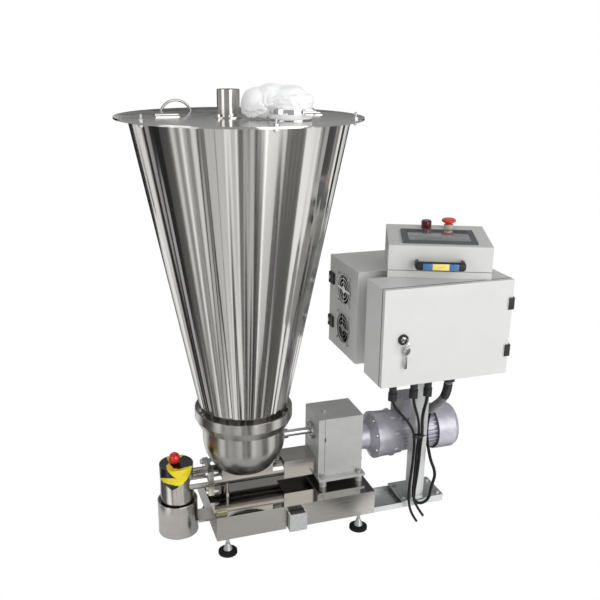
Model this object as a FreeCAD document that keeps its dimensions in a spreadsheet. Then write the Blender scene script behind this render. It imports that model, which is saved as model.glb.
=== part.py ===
import FreeCAD, Part
import math
import os
import re

import Sketcher

# Loss-in-weight twin-screw feeder, in millimetres.
# World frame: +Z up, floor at Z 0, hopper axis at Y 0, +X from the hopper towards the drive motor.

# Driving sizes, one group per part of the machine
SIZES = {
    # Hopper, its lid and its foot
    "lid_radius": 317, "lid_top": 1209.6, "lid_thick": 2.5, "rim_thick": 2.5,
    "mouth_radius": 283, "hopper_outlet_radius": 121.3, "hopper_wall": 2,
    "foot_flange_radius": 134, "foot_flange_thick": 3.3, "foot_flange_bottom": 383,
    "lid_gap": 2, "lid_hinge_radius": 4, "lid_hinge_length": 58, "lid_hinge_reach": 187,
    "lid_pin_radius": 2, "lid_bolt_circle": 301,
    "lid_handle_x": -129, "lid_handle_y": 205, "lid_handle_span": 88,
    "lid_handle_rise": 27, "lid_handle_rod": 3.5,
    # Inlet pipe, vent spigot and filter bag on the lid
    "inlet_x": -41, "inlet_y": -44, "inlet_radius": 28, "inlet_wall": 2, "inlet_top": 1277,
    "inlet_flange_radius": 43, "inlet_flange_thick": 3, "inlet_screw_circle": 36,
    "vent_x": 90, "vent_y": -145, "vent_radius": 50, "vent_wall": 2, "vent_height": 52,
    "bag_collar_radius": 54, "bag_gap": 0.4, "bag_top": 86, "bag_lean": 74, "bag_lobe_radius": 46,
    "hose_clamp_bottom": 15, "hose_clamp_width": 12, "hose_clamp_thick": 1.2,
    # Clamp ring between the hopper and the feed bowl
    "clamp_radius": 139, "clamp_top": 402, "clamp_band": 28, "clamp_skirt": 24,
    "clamp_skirt_radius": 127, "clamp_lip_radius": 128, "clamp_lip": 4, "clamp_recess_radius": 136,
    "clamp_play": 0.4,
    # Feed bowl
    "bowl_radius": 118, "bowl_wall": 3, "bowl_centre": 306, "bowl_bottom": 220,
    "bowl_foot_radius": 74, "bowl_roll": 4, "bowl_floor": 3,
    "throat_half_length": 60, "throat_half_width": 30,
    # Twin screws, barrel and saddle
    "screw_axis": 187, "screw_half_spacing": 15, "screw_radius": 18.5, "core_radius": 9,
    "screw_pitch": 30, "flight_thick": 3, "screw_tip": -176, "flight_end": 94,
    "barrel_bore": 19.2, "barrel_outer": 23, "barrel_left": -109, "barrel_right": 119,
    "barrel_flange": 8, "barrel_flange_half_width": 45, "barrel_flange_half_height": 38,
    "saddle_half_length": 76, "saddle_half_width": 40, "saddle_bottom": 190, "saddle_top": 233,
    "seat_gap": 0.3,
    # Discharge head, cap and outlet sleeve
    "head_x": -200, "head_radius": 47.8, "head_wall": 2.5, "head_bottom": 88, "head_top": 243,
    "outlet_bore": 44, "outlet_length": 62,
    "cap_thick": 3, "cap_plug": 12, "cap_play": 0.1, "knob_radius": 15.5, "knob_stem_radius": 5,
    "knob_stem": 10,
    "sleeve_radius": 56.9, "sleeve_wall": 2.5, "sleeve_bottom": 30, "sleeve_top": 132,
    "sleeve_bar_width": 62, "sleeve_bar_thick": 6, "sleeve_bar_reach": 40,
    # Base: cover, ground frame, load cell, feet
    "base_left": -117, "base_length": 475, "base_half_width": 145, "base_bottom": 64,
    "base_top": 137, "cover_wall": 2.5, "frame_gap": 5, "frame_height": 32, "frame_bar": 34,
    "frame_pad_thick": 8,
    "foot_inset_x": 37, "foot_inset_y": 31.5, "foot_radius": 27, "foot_pad": 12,
    "foot_stem_radius": 5, "foot_neck_radius": 13, "foot_neck": 20,
    "cell_length": 190, "cell_width": 60, "cell_height": 30, "cell_seat": 2, "cell_x": 25,
    "cell_eye": 9,
    "stop_x": 88, "stop_width": 51, "stop_reach": 25, "stop_bottom": 68, "stop_height": 54,
    "stop_wall": 3, "notch_play": 3, "notch_top": 118,
    # Lantern block, gear housing and its base plate
    "lantern_half_width": 40, "lantern_bottom": 163, "lantern_top": 218,
    "housing_left": 209.5, "housing_cover": 20, "housing_length": 128.5, "housing_half_width": 60.5,
    "housing_bottom": 163, "housing_top": 347, "housing_wall": 6, "housing_end": 10,
    "plate_thick": 8, "plate_half_width": 82, "plate_overhang": 4, "spacer_radius": 11,
    "spacer_inset_x": 16, "spacer_inset_y": 12,
    # Gear train
    "gear_module": 2, "drive_teeth": 42, "screw_teeth": 16, "stir_pinion_teeth": 13,
    "stir_gear_teeth": 33, "gear_backlash": 0.12, "stir_gear_face": 12, "stir_gear_gap": 7,
    "drive_gear_face": 32, "drive_gear_gap": 9, "screw_gear_face": 13,
    "shaft_radius": 10, "drive_shaft_radius": 15, "pinion_shaft_radius": 8, "shaft_play": 0.05,
    "bearing_radius": 14.6, "stir_bearing_radius": 19, "stir_flange_radius": 26,
    "stir_flange_thick": 9, "gland_radius": 14, "gland_length": 22,
    # Agitator inside the bowl
    "stir_tip": -92, "arm_radius": 60, "arm_rod": 5, "arm_pitch": 46,
    # Gear motor along +X
    "reducer_neck_radius": 40, "reducer_neck": 36, "reducer_cone": 16, "reducer_flange_radius": 72,
    "reducer_flange": 11, "reducer_radius": 70.5, "reducer_length": 58, "reducer_ring_radius": 67,
    "reducer_ring": 16, "motor_radius": 54, "fin_height": 9, "fin_thick": 3, "fin_count": 28,
    "motor_length": 140, "cowl_radius": 71, "cowl_length": 76, "cowl_wall": 2, "cowl_lap": 22,
    "cowl_round": 18,
    "motor_stub_radius": 9, "motor_fan_gap": 1, "motor_fan_radius": 60, "motor_fan_hub": 18,
    "motor_fan_width": 26,
    "terminal_left": 482, "terminal_length": 62, "terminal_half_width": 35, "terminal_top": 363,
    "terminal_lid": 12,
    # Outrigger channel and cabinet post
    "channel_front": -139, "channel_back": -37, "channel_wall": 4, "channel_lip": 17,
    "channel_end": 588, "channel_lap": 50,
    "post_x": 502, "post_y": -115, "post_side": 40, "post_wall": 3, "post_plate_left": 452,
    "post_plate_thick": 6, "post_plate_lap": 3, "rail_thick": 10, "rail_height": 40,
    "rail_half_length": 150, "rail_low": 570, "rail_high": 735,
    # Cabinets
    "cabinet_bottom": 522, "cabinet_top": 792, "front_width": 378, "rear_width": 384, "cabinet_wall": 2,
    "cabinet_lip": 14, "front_cabinet_left": 307, "front_depth": 100, "rear_cabinet_left": 306,
    "rear_depth": 198, "door_thick": 16.7, "door_gap": 0.3, "door_wall": 2,
    "hinge_out": 4, "hinge_radius": 3.6, "hinge_pin": 1.8, "hinge_play": 0.06, "hinge_height": 34,
    "hinge_low": 68, "hinge_high": 203,
    # Cooling fans in the rear cabinet's left wall
    "fan_y": 10, "fan_low": 600, "fan_high": 716, "fan_side": 92, "fan_depth": 25,
    "fan_bore": 43, "fan_blade": 41.5, "fan_hub": 19, "fan_hole_pitch": 82.5,
    "guard_wire": 2, "guard_stand": 4,
    # Door lock
    "lock_x": 363, "lock_z": 655, "lock_ring": 14.5, "lock_ring_thick": 4, "lock_barrel": 11,
    "lock_core": 8, "lock_depth": 19.6, "cam_length": 48, "cam_width": 14, "cam_thick": 2.5,
    "key_bow": 12, "key_thick": 2,
    # Operator box on its swivel
    "box_turn": -22.5, "box_left": -115, "box_width": 276, "box_front": -80, "box_depth": 219,
    "box_clear": 0.4, "tray_height": 19.5, "box_front_height": 88, "box_rise": 10, "box_wall": 2,
    "swivel_radius": 10, "swivel_height": 18,
    "screen_width": 200, "screen_depth": 136, "screen_setback": 20, "screen_thick": 5,
    "lamp_x": -2, "lamp_y": 105, "lamp_radius": 14.5, "lamp_height": 23,
    "stop_button_x": 61, "stop_head": 20, "stop_collar": 13.5, "stop_collar_height": 13,
    "stop_stem": 8, "stop_travel": 4, "handle_span": 133, "handle_tall": 24, "handle_reach": 42,
    "handle_bar": 9, "handle_height": 30, "handle_offset": -2,
    # Cable glands and conduit
    "gland_y": -190, "gland_left": 377, "gland_middle": 441, "gland_right": 485,
    "gland_conduit": 550, "gland_nut": 14, "gland_body_radius": 10.5,
    "gland_body": 72, "conduit_gland_radius": 14, "conduit_gland_body": 34, "gland_bore_play": 0.2,
    "conduit_radius": 11, "conduit_bore": 8.5, "cable_radius": 3, "thick_cable_radius": 3.7,
    # Level vial on the base
    "vial_x": -98, "vial_y": -126, "vial_radius": 5, "vial_length": 27, "vial_seat": 3,
    # Fasteners
    "screw_head": 6.5, "screw_head_height": 8, "screw_shank": 4, "hex_across": 13, "hex_height": 5.5,
}

doc = FreeCAD.newDocument("LossInWeightFeeder")
sheet = doc.addObject("Spreadsheet::Sheet", "Sizes")
for row, (alias, size) in enumerate(SIZES.items(), start=1):
    sheet.set("A%d" % row, alias)
    sheet.set("B%d" % row, str(size))
    sheet.setAlias("B%d" % row, alias)
doc.recompute()

ALIAS = re.compile(r"\b(" + "|".join(sorted(SIZES, key=len, reverse=True)) + r")\b")
pieces = []


def linked(text):
    """The expression with each size's name pointing at its cell."""
    return ALIAS.sub(r"Sizes.\1", str(text))


def number(text):
    """The present value of an expression in millimetres or degrees."""
    return float(sheet.evalExpression(linked(text)))


def tie(item, prop, text):
    item.setExpression(prop, linked(text))


# Lengths that follow from the driving sizes
SCREW_DROP = "sqrt((gear_module * (drive_teeth + screw_teeth) / 2) ^ 2 - screw_half_spacing ^ 2)"
MOTOR_AXIS = "(screw_axis + %s)" % SCREW_DROP
STIR_AXIS = "(%s + gear_module * (stir_pinion_teeth + stir_gear_teeth) / 2)" % MOTOR_AXIS
HOUSING_RIGHT = "(housing_left + housing_length + housing_end)"
FLANGE_X = "(%s + reducer_neck + reducer_cone)" % HOUSING_RIGHT
BODY_X = "(%s + reducer_flange)" % FLANGE_X
RING_X = "(%s + reducer_length)" % BODY_X
MOTOR_X = "(%s + reducer_ring)" % RING_X
COWL_X = "(%s + motor_length - cowl_lap)" % MOTOR_X
MOTOR_END = "(%s + cowl_length)" % COWL_X
BOX_REACH = "(box_left + box_width) * cos(box_turn) - (box_front + box_depth) * sin(box_turn)"
MIDDLE_X = "((post_x + %s - lid_radius) / 2)" % BOX_REACH
BASE_RIGHT = "(base_left + base_length)"
LID_BOTTOM = "(lid_top - lid_thick)"
RIM_BOTTOM = "(lid_top - lid_thick - rim_thick)"
FLANGE_TOP = "(foot_flange_bottom + foot_flange_thick)"
STIR_GEAR_X = "(housing_left + housing_cover + stir_gear_gap)"
DRIVE_GEAR_X = "(%s + stir_gear_face + drive_gear_gap)" % STIR_GEAR_X
CHANNEL_TOP = "(base_bottom - channel_wall + channel_lip)"
POST_FOOT = "(%s + post_plate_thick)" % CHANNEL_TOP
FRONT_CABINET_BACK = "(post_y - post_side / 2 - rail_thick)"
FRONT_CABINET_FACE = "(%s - front_depth)" % FRONT_CABINET_BACK
REAR_CABINET_FACE = "(post_y + post_side / 2 + rail_thick)"
REAR_CABINET_BACK = "(%s + rear_depth)" % REAR_CABINET_FACE


def place(item, x="0", y="0", z="0", angles=(0, 0, 0)):
    """Seats an item; X is counted from the hopper axis, the model's origin is under its middle."""
    item.Placement = FreeCAD.Placement(FreeCAD.Vector(0, 0, 0), FreeCAD.Rotation(*angles))
    tie(item, "Placement.Base.x", x)
    tie(item, "Placement.Base.y", y)
    tie(item, "Placement.Base.z", z)
    return item


def finish(item, label, x="0"):
    """Registers an item as a sub-part, moved so that the model's origin is under its middle."""
    item.Label = label
    tie(item, "Placement.Base.x", "%s - %s" % (x, MIDDLE_X))
    pieces.append(item)
    return item


def new(kind, stem):
    """A new document object with its own number in its name."""
    return doc.addObject(kind, "%s_%d" % (stem, len(doc.Objects)))


def block(x0, x1, y0, y1, z0, z1):
    """A box between two corners."""
    item = new("Part::Box", "block")
    tie(item, "Length", "(%s) - (%s)" % (x1, x0))
    tie(item, "Width", "(%s) - (%s)" % (y1, y0))
    tie(item, "Height", "(%s) - (%s)" % (z1, z0))
    return place(item, x0, y0, z0)


AXIS_ANGLES = {"z": (0, 0, 0), "x": (0, 90, 0), "y": (0, 0, -90)}


def rod(radius, x, y, z, length, axis="z"):
    """A cylinder from a point along an axis."""
    item = new("Part::Cylinder", "rod")
    tie(item, "Radius", radius)
    tie(item, "Height", length)
    return place(item, x, y, z, AXIS_ANGLES[axis])


def cone(radius1, radius2, x, y, z, length, axis="z"):
    item = new("Part::Cone", "cone")
    tie(item, "Radius1", radius1)
    tie(item, "Radius2", radius2)
    tie(item, "Height", length)
    return place(item, x, y, z, AXIS_ANGLES[axis])


def ball(radius, x, y, z, highest=90):
    """A sphere up to a latitude in degrees; 0 leaves its lower half."""
    item = new("Part::Sphere", "ball")
    tie(item, "Radius", radius)
    item.Angle2 = highest
    return place(item, x, y, z)


def torus(radius, tube, x, y, z, axis="z"):
    item = new("Part::Torus", "torus")
    tie(item, "Radius1", radius)
    tie(item, "Radius2", tube)
    return place(item, x, y, z, AXIS_ANGLES[axis])


def hexagon(across, x, y, z, height, axis="z"):
    item = new("Part::Prism", "hexagon")
    item.Polygon = 6
    tie(item, "Circumradius", "(%s) / 2 / cos(30)" % across)
    tie(item, "Height", height)
    return place(item, x, y, z, AXIS_ANGLES[axis])


def fuse(*items):
    item = new("Part::MultiFuse", "fuse")
    item.Shapes = list(items)
    item.Refine = True
    return item


def cut(base, *tools):
    item = new("Part::Cut", "cut")
    item.Base = base
    item.Tool = tools[0] if len(tools) == 1 else fuse(*tools)
    item.Refine = True
    return item


def common(first, second):
    item = new("Part::Common", "common")
    item.Base = first
    item.Tool = second
    return item


def group(*items):
    """Separate solids kept in one sub-part."""
    item = new("Part::Compound", "group")
    item.Links = list(items)
    return item


def tube(outer, inner, x, y, z, length, axis="z"):
    return cut(rod(outer, x, y, z, length, axis), rod(inner, x, y, z, length, axis))


def new_body(stem):
    return new("PartDesign::Body", stem)


def origin_plane(body, role):
    return [item for item in body.Origin.OriginFeatures if item.Role == role][0]


def outline(body, role, points):
    """A closed sketch of straight lines whose corners are tied to the sizes."""
    sketch = body.newObject("Sketcher::SketchObject", "outline_%d" % len(doc.Objects))
    sketch.AttachmentSupport = [(origin_plane(body, role), "")]
    sketch.MapMode = "FlatFace"
    corners = [(number(across), number(up)) for across, up in points]
    count = len(corners)
    for index in range(count):
        start = FreeCAD.Vector(corners[index][0], corners[index][1], 0)
        stop = FreeCAD.Vector(corners[(index + 1) % count][0], corners[(index + 1) % count][1], 0)
        sketch.addGeometry(Part.LineSegment(start, stop), False)
    for index in range(count):
        sketch.addConstraint(Sketcher.Constraint("Coincident", index, 2, (index + 1) % count, 1))
    for index, (across, up) in enumerate(points):
        for kind, text, value in (("DistanceX", across, corners[index][0]),
                                  ("DistanceY", up, corners[index][1])):
            rule = sketch.addConstraint(Sketcher.Constraint(kind, -1, 1, index, 1, value))
            sketch.setExpression("Constraints[%d]" % rule, linked(text))
    return sketch


def turned(points, stem):
    """A body turned about the vertical axis; points are radius and height."""
    body = new_body(stem)
    sketch = outline(body, "XZ_Plane", points)
    feature = body.newObject("PartDesign::Revolution", "turning_%d" % len(doc.Objects))
    feature.Profile = sketch
    feature.ReferenceAxis = (sketch, ["V_Axis"])
    feature.Angle = 360
    return body


def lathe(points, stem, x, z):
    """A body turned about a line along +X through X x, Z z; points are radius and distance."""
    body = turned(points, stem)
    return place(body, x, "0", z, AXIS_ANGLES["x"])


def extruded(points, stem, role, length, back=False):
    """A body padded from an outline on one of its origin planes."""
    body = new_body(stem)
    sketch = outline(body, role, points)
    pad = body.newObject("PartDesign::Pad", "pad_%d" % len(doc.Objects))
    pad.Profile = sketch
    tie(pad, "Length", length)
    pad.Reversed = back
    return body


def socket_screw(x, y, z, length, axis="z"):
    """A socket-head screw with its head's seat at the point and its head towards +Z or +X."""
    head = rod("screw_head", x, y, z, "screw_head_height", axis)
    socket_depth = "screw_head_height / 2"
    if axis == "z":
        socket = hexagon("screw_head", x, y, "(%s) + %s" % (z, socket_depth), socket_depth, axis)
        shank = rod("screw_shank", x, y, "(%s) - (%s)" % (z, length), length, axis)
    else:
        socket = hexagon("screw_head", "(%s) + %s" % (x, socket_depth), y, z, socket_depth, axis)
        shank = rod("screw_shank", "(%s) - (%s)" % (x, length), y, z, length, axis)
    return fuse(cut(head, socket), shank)


def hex_bolt(x, y, z, grip, nut=True):
    """A vertical hexagon bolt; the head sits at height z and a nut holds it under the grip."""
    head = hexagon("hex_across", x, y, z, "hex_height")
    shank_length = "(%s) + hex_height * 1.6" % grip
    shank = rod("screw_shank", x, y, "(%s) - (%s)" % (z, shank_length), shank_length)
    parts = [head, shank]
    if nut:
        parts.append(hexagon("hex_across", x, y, "(%s) - (%s) - hex_height" % (z, grip), "hex_height"))
    return fuse(*parts)


# Hopper: one rolled cone with a flat rim above and a clamping flange below
hopper = turned([
    ("hopper_outlet_radius", FLANGE_TOP),
    ("mouth_radius", RIM_BOTTOM),
    ("lid_radius", RIM_BOTTOM),
    ("lid_radius", LID_BOTTOM),
    ("mouth_radius - hopper_wall", LID_BOTTOM),
    ("hopper_outlet_radius - hopper_wall", "foot_flange_bottom"),
    ("foot_flange_radius", "foot_flange_bottom"),
    ("foot_flange_radius", FLANGE_TOP),
], "hopper_body")

BOLT_TURNS = (-153, -89, -35)
bolt_places = [("(lid_bolt_circle * cos(%d))" % turn, "(lid_bolt_circle * sin(%d))" % turn)
               for turn in BOLT_TURNS]


def bolt_holes(z0, z1):
    return [rod("screw_shank + shaft_play", x, y, z0, "(%s) - (%s)" % (z1, z0)) for x, y in bolt_places]


finish(cut(hopper, *bolt_holes("%s - 1" % RIM_BOTTOM, "lid_top")), "hopper")

# Lid: a fixed front half and a hinged rear half
lid_disc = rod("lid_radius", "0", "0", LID_BOTTOM, "lid_thick")
front_half = common(lid_disc, block("-lid_radius", "lid_radius", "-lid_radius", "-lid_gap / 2",
                                    LID_BOTTOM, "lid_top"))
vent = rod("vent_radius", "vent_x", "vent_y", "lid_top - lid_thick / 2", "vent_height + lid_thick / 2")
HINGE_AXIS_Z = "(lid_top + lid_hinge_radius)"


def knuckle(centre, share, span):
    """Barrels of a lid hinge: share is the third they start at, span how many thirds they take."""
    start = "(%s) - lid_hinge_length / 2 + lid_hinge_length * %d / 3" % (centre, share)
    return rod("lid_hinge_radius", start, "0", HINGE_AXIS_Z, "lid_hinge_length * %d / 3" % span, "x")


def hinge_room(centre):
    """The space the moving barrel of a lid hinge turns in."""
    start = "(%s) - lid_hinge_length / 6 - 0.3" % centre
    return rod("lid_hinge_radius + 0.3", start, "0", HINGE_AXIS_Z, "lid_hinge_length / 3 + 0.6", "x")


fixed_leaves = []
moving_leaves = []
pins = []
for centre in ("-lid_hinge_reach", "lid_hinge_reach"):
    low = "(%s) - lid_hinge_length / 2" % centre
    high = "(%s) + lid_hinge_length / 2" % centre
    fixed_leaves.append(knuckle(centre, 0, 3))
    fixed_leaves.append(block(low, high, "-lid_hinge_radius * 5", "-lid_hinge_radius / 2",
                              "lid_top - lid_thick / 2", "lid_top + lid_pin_radius"))
    moving_leaves.append(rod("lid_hinge_radius", "(%s) - lid_hinge_length / 6" % centre, "0",
                             HINGE_AXIS_Z, "lid_hinge_length / 3", "x"))
    moving_leaves.append(block("(%s) - lid_hinge_length / 6" % centre,
                               "(%s) + lid_hinge_length / 6" % centre,
                               "lid_hinge_radius / 2", "lid_hinge_radius * 5",
                               "lid_top - lid_thick / 2", "lid_top + lid_pin_radius"))
    pins.append(rod("lid_pin_radius", low, "0", HINGE_AXIS_Z, "lid_hinge_length", "x"))

front_solid = fuse(front_half, vent, *fixed_leaves)
front_holes = [
    rod("vent_radius - vent_wall", "vent_x", "vent_y", LID_BOTTOM, "vent_height + lid_thick"),
    rod("inlet_radius - inlet_wall", "inlet_x", "inlet_y", LID_BOTTOM, "lid_thick"),
    *bolt_holes(LID_BOTTOM, "lid_top"),
]
for centre in ("-lid_hinge_reach", "lid_hinge_reach"):
    front_holes.append(hinge_room(centre))
    front_holes.append(block("(%s) - lid_hinge_length / 6 - 0.3" % centre,
                             "(%s) + lid_hinge_length / 6 + 0.3" % centre,
                             "-lid_hinge_radius - 0.3", "lid_hinge_radius", "lid_top",
                             "lid_top + lid_hinge_radius * 2"))
lid_front = fuse(cut(front_solid, *front_holes), *pins)
finish(lid_front, "lid_front")

rear_half = common(rod("lid_radius", "0", "0", LID_BOTTOM, "lid_thick"),
                   block("-lid_radius", "lid_radius", "lid_gap / 2", "lid_radius",
                         LID_BOTTOM, "lid_top"))
handle_hoop = common(
    torus("lid_handle_span / 2", "lid_handle_rod", "lid_handle_x", "lid_handle_y",
          "lid_top + lid_handle_rise - lid_handle_span / 2", "y"),
    block("lid_handle_x - lid_handle_span", "lid_handle_x + lid_handle_span",
          "lid_handle_y - lid_handle_span", "lid_handle_y + lid_handle_span",
          "lid_top - lid_thick / 2", "lid_top + lid_handle_span"))
rear_holes = []
for pin_centre in ("-lid_hinge_reach", "lid_hinge_reach"):
    rear_holes.append(rod("lid_pin_radius + shaft_play", "(%s) - lid_hinge_length / 2" % pin_centre,
                          "0", HINGE_AXIS_Z, "lid_hinge_length", "x"))
finish(cut(fuse(rear_half, handle_hoop, *moving_leaves), *rear_holes), "lid_rear")

# Inlet pipe with its bolted flange
inlet = fuse(
    rod("inlet_radius", "inlet_x", "inlet_y", "lid_top", "inlet_top - lid_top"),
    rod("inlet_flange_radius", "inlet_x", "inlet_y", "lid_top", "inlet_flange_thick"),
    *[hexagon("hex_across * 0.6", "inlet_x + inlet_screw_circle * cos(%d)" % turn,
              "inlet_y + inlet_screw_circle * sin(%d)" % turn, "lid_top + inlet_flange_thick",
              "hex_height") for turn in (215, 260, 35, 80)])
finish(cut(inlet, rod("inlet_radius - inlet_wall", "inlet_x", "inlet_y", "lid_top",
                      "inlet_top - lid_top")), "inlet_pipe")

# Filter bag: its hem over the spigot, its body folded over to the left
bag_hem = rod("bag_collar_radius", "vent_x", "vent_y", "lid_top + 0.3", "vent_height + 4")
bag_dome = common(ball("bag_collar_radius + 2", "vent_x - 6", "vent_y + 10",
                       "lid_top + vent_height - 20"),
                  block("vent_x - 99", "vent_x + 99", "vent_y - 99", "vent_y + 99", "lid_top + 30",
                        "lid_top + bag_top"))
bag_lobe = common(ball("bag_lobe_radius", "vent_x - bag_lean", "vent_y + 40",
                       "lid_top + bag_lobe_radius - 6"),
                  block("vent_x - bag_lean - 99", "vent_x", "vent_y - 99", "-lid_hinge_radius * 6",
                        "lid_top + 0.3", "lid_top + bag_top"))
bag_hollow = rod("vent_radius + bag_gap", "vent_x", "vent_y", "lid_top", "vent_height + bag_gap")
inlet_room = rod("inlet_flange_radius + 2", "inlet_x", "inlet_y", "lid_top", "bag_top * 2")
hem_seat = tube("bag_collar_radius + 9", "bag_collar_radius - hose_clamp_thick", "vent_x", "vent_y",
                "lid_top + hose_clamp_bottom", "hose_clamp_width")
finish(cut(fuse(bag_hem, bag_dome, bag_lobe), bag_hollow, inlet_room, hem_seat), "filter_bag")

# Worm-drive hose clamp round the bag's hem
clamp_screw = rod("hose_clamp_width / 2.4", "vent_x + 12", "vent_y - bag_collar_radius - 5",
                  "lid_top + hose_clamp_bottom + hose_clamp_width / 2", "30", "x")
clamp_house = block("vent_x + 16", "vent_x + 34", "vent_y - bag_collar_radius - 8",
                    "vent_y - bag_collar_radius + 12",
                    "lid_top + hose_clamp_bottom", "lid_top + hose_clamp_bottom + hose_clamp_width")
clamp_band = rod("bag_collar_radius + hose_clamp_thick", "vent_x", "vent_y",
                 "lid_top + hose_clamp_bottom + 0.2", "hose_clamp_width - 0.4")
clamp_bore = rod("bag_collar_radius", "vent_x", "vent_y", "lid_top", "vent_height")
finish(cut(fuse(clamp_band, clamp_screw, clamp_house), clamp_bore), "hose_clamp")

# Clamp ring that holds the hopper's flange down on the bowl's flange
finish(turned([
    ("clamp_radius", "clamp_top"),
    ("clamp_radius", "clamp_top - clamp_band"),
    ("clamp_skirt_radius", "clamp_top - clamp_band - clamp_skirt"),
    ("bowl_radius + clamp_play", "clamp_top - clamp_band - clamp_skirt"),
    ("bowl_radius + clamp_play", "foot_flange_bottom - foot_flange_thick - clamp_play"),
    ("foot_flange_radius + clamp_play", "foot_flange_bottom - foot_flange_thick - clamp_play"),
    ("foot_flange_radius + clamp_play", "%s + clamp_play" % FLANGE_TOP),
    ("clamp_lip_radius", "%s + clamp_play" % FLANGE_TOP),
    ("clamp_lip_radius", "%s + clamp_play + clamp_lip" % FLANGE_TOP),
    ("clamp_recess_radius", "%s + clamp_play + clamp_lip" % FLANGE_TOP),
    ("clamp_recess_radius", "clamp_top"),
], "clamp_body"), "clamp_ring")

# Feed bowl: a short cylinder on a round bottom, with a throat down to the screws
bowl_outside = fuse(
    rod("bowl_radius", "0", "0", "bowl_centre", "foot_flange_bottom - bowl_centre"),
    rod("foot_flange_radius", "0", "0", "foot_flange_bottom - foot_flange_thick", "foot_flange_thick"),
    ball("bowl_radius", "0", "0", "bowl_centre", 0))
bowl_below = block("-bowl_radius - 1", "bowl_radius + 1", "-bowl_radius - 1", "bowl_radius + 1",
                   "bowl_centre - bowl_radius - 1", "bowl_bottom")
bowl_inside = fuse(
    rod("bowl_radius - bowl_wall", "0", "0", "bowl_centre", "foot_flange_bottom - bowl_centre"),
    common(ball("bowl_radius - bowl_wall", "0", "0", "bowl_centre", 0),
           block("-bowl_radius", "bowl_radius", "-bowl_radius", "bowl_radius",
                 "bowl_bottom + bowl_floor", "foot_flange_bottom")))
bowl_throat = block("-throat_half_length", "throat_half_length", "-throat_half_width",
                    "throat_half_width", "bowl_bottom - bowl_roll", "bowl_centre")
bowl_shell = cut(bowl_outside, bowl_below, bowl_inside)
gland_boss = rod("gland_radius", "bowl_radius - 8", "0", STIR_AXIS, "gland_length", "x")
gland_bore = rod("shaft_radius + shaft_play", "0", "0", STIR_AXIS, "bowl_radius * 2", "x")
bowl_roll = torus("bowl_foot_radius", "bowl_roll", "0", "0", "bowl_bottom")
finish(cut(fuse(cut(fuse(bowl_shell, bowl_roll), bowl_throat), gland_boss), gland_bore), "feed_bowl")


def twin(radius, x, length):
    """Two parallel cylinders along X at the two screw axes."""
    return [rod(radius, x, side + "screw_half_spacing", "screw_axis", length, "x") for side in ("-", "")]


# Barrel: two tubes side by side under a saddle that carries the bowl
saddle = block("-saddle_half_length", "saddle_half_length", "-saddle_half_width",
               "saddle_half_width", "saddle_bottom", "saddle_top")
left_flange = block("barrel_left", "barrel_left + barrel_flange", "-barrel_flange_half_width",
                    "barrel_flange_half_width", "screw_axis - barrel_flange_half_height",
                    "screw_axis + barrel_flange_half_height")
right_flange = block("barrel_right - barrel_flange", "barrel_right", "-lantern_half_width",
                     "lantern_half_width", "lantern_bottom", "lantern_top")
stud_feet = [fuse(rod("screw_shank * 1.25", "-60", side, "base_top", "saddle_bottom - base_top"),
                  hexagon("hex_across", "-60", side, "base_top", "hex_height"),
                  hexagon("hex_across", "-60", side, "saddle_bottom - hex_height * 2", "hex_height * 2"))
             for side in ("-saddle_half_width + 10", "saddle_half_width - 10")]
barrel_solid = fuse(saddle, left_flange, right_flange, *stud_feet,
                    *twin("barrel_outer", "barrel_left", "barrel_right - barrel_left"))
bowl_seat = ball("bowl_radius + seat_gap", "0", "0", "bowl_centre")
roll_room = rod("bowl_foot_radius + bowl_roll + seat_gap", "0", "0",
                "bowl_bottom - bowl_roll - seat_gap", "saddle_top - bowl_bottom + bowl_roll + 1")
barrel_throat = block("-throat_half_length", "throat_half_length", "-throat_half_width",
                      "throat_half_width", "screw_axis", "saddle_top")
flange_screw_places = [(y, z) for y in ("-barrel_flange_half_width + 8", "barrel_flange_half_width - 8")
                       for z in ("screw_axis - barrel_flange_half_height + 8",
                                 "screw_axis + barrel_flange_half_height - 8")]
flange_holes = [rod("screw_shank + shaft_play", "barrel_left - barrel_flange * 2", y, z,
                    "barrel_flange * 4", "x") for y, z in flange_screw_places]
finish(cut(barrel_solid, bowl_seat, roll_room, barrel_throat, *flange_holes,
           *twin("barrel_bore", "barrel_left - 1", "barrel_right - barrel_left + 2")), "screw_barrel")

# Discharge head: the product falls out of its lower end, a thicker ring bored for the outlet sock
HEAD_FLANGE = "(barrel_left - barrel_flange)"
head_solid = fuse(
    rod("head_radius", "head_x", "0", "head_bottom", "head_top - head_bottom"),
    block(HEAD_FLANGE, "barrel_left", "-barrel_flange_half_width", "barrel_flange_half_width",
          "screw_axis - barrel_flange_half_height", "screw_axis + barrel_flange_half_height"),
    *twin("barrel_outer", "head_x", "%s - head_x" % HEAD_FLANGE))
head_inside = rod("head_radius - head_wall", "head_x", "0", "head_bottom + outlet_length",
                  "head_top - head_bottom - outlet_length")
outlet_bore = rod("outlet_bore", "head_x", "0", "head_bottom", "outlet_length")
finish(cut(head_solid, head_inside, outlet_bore, *flange_holes,
           *twin("barrel_bore", "head_x", "barrel_left - head_x")), "discharge_head")

cap = fuse(rod("head_radius", "head_x", "0", "head_top", "cap_thick"),
           tube("head_radius - head_wall - cap_play", "head_radius - head_wall * 2 - cap_play",
                "head_x", "0", "head_top - cap_plug", "cap_plug + cap_thick / 2"))
finish(cap, "discharge_cap")
KNOB_FOOT = "(head_top + cap_thick)"
finish(fuse(rod("knob_stem_radius", "head_x", "0", KNOB_FOOT, "knob_stem"),
            ball("knob_radius", "head_x", "0", "%s + knob_stem + knob_radius * 0.9" % KNOB_FOOT)),
       "cap_knob")

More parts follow.
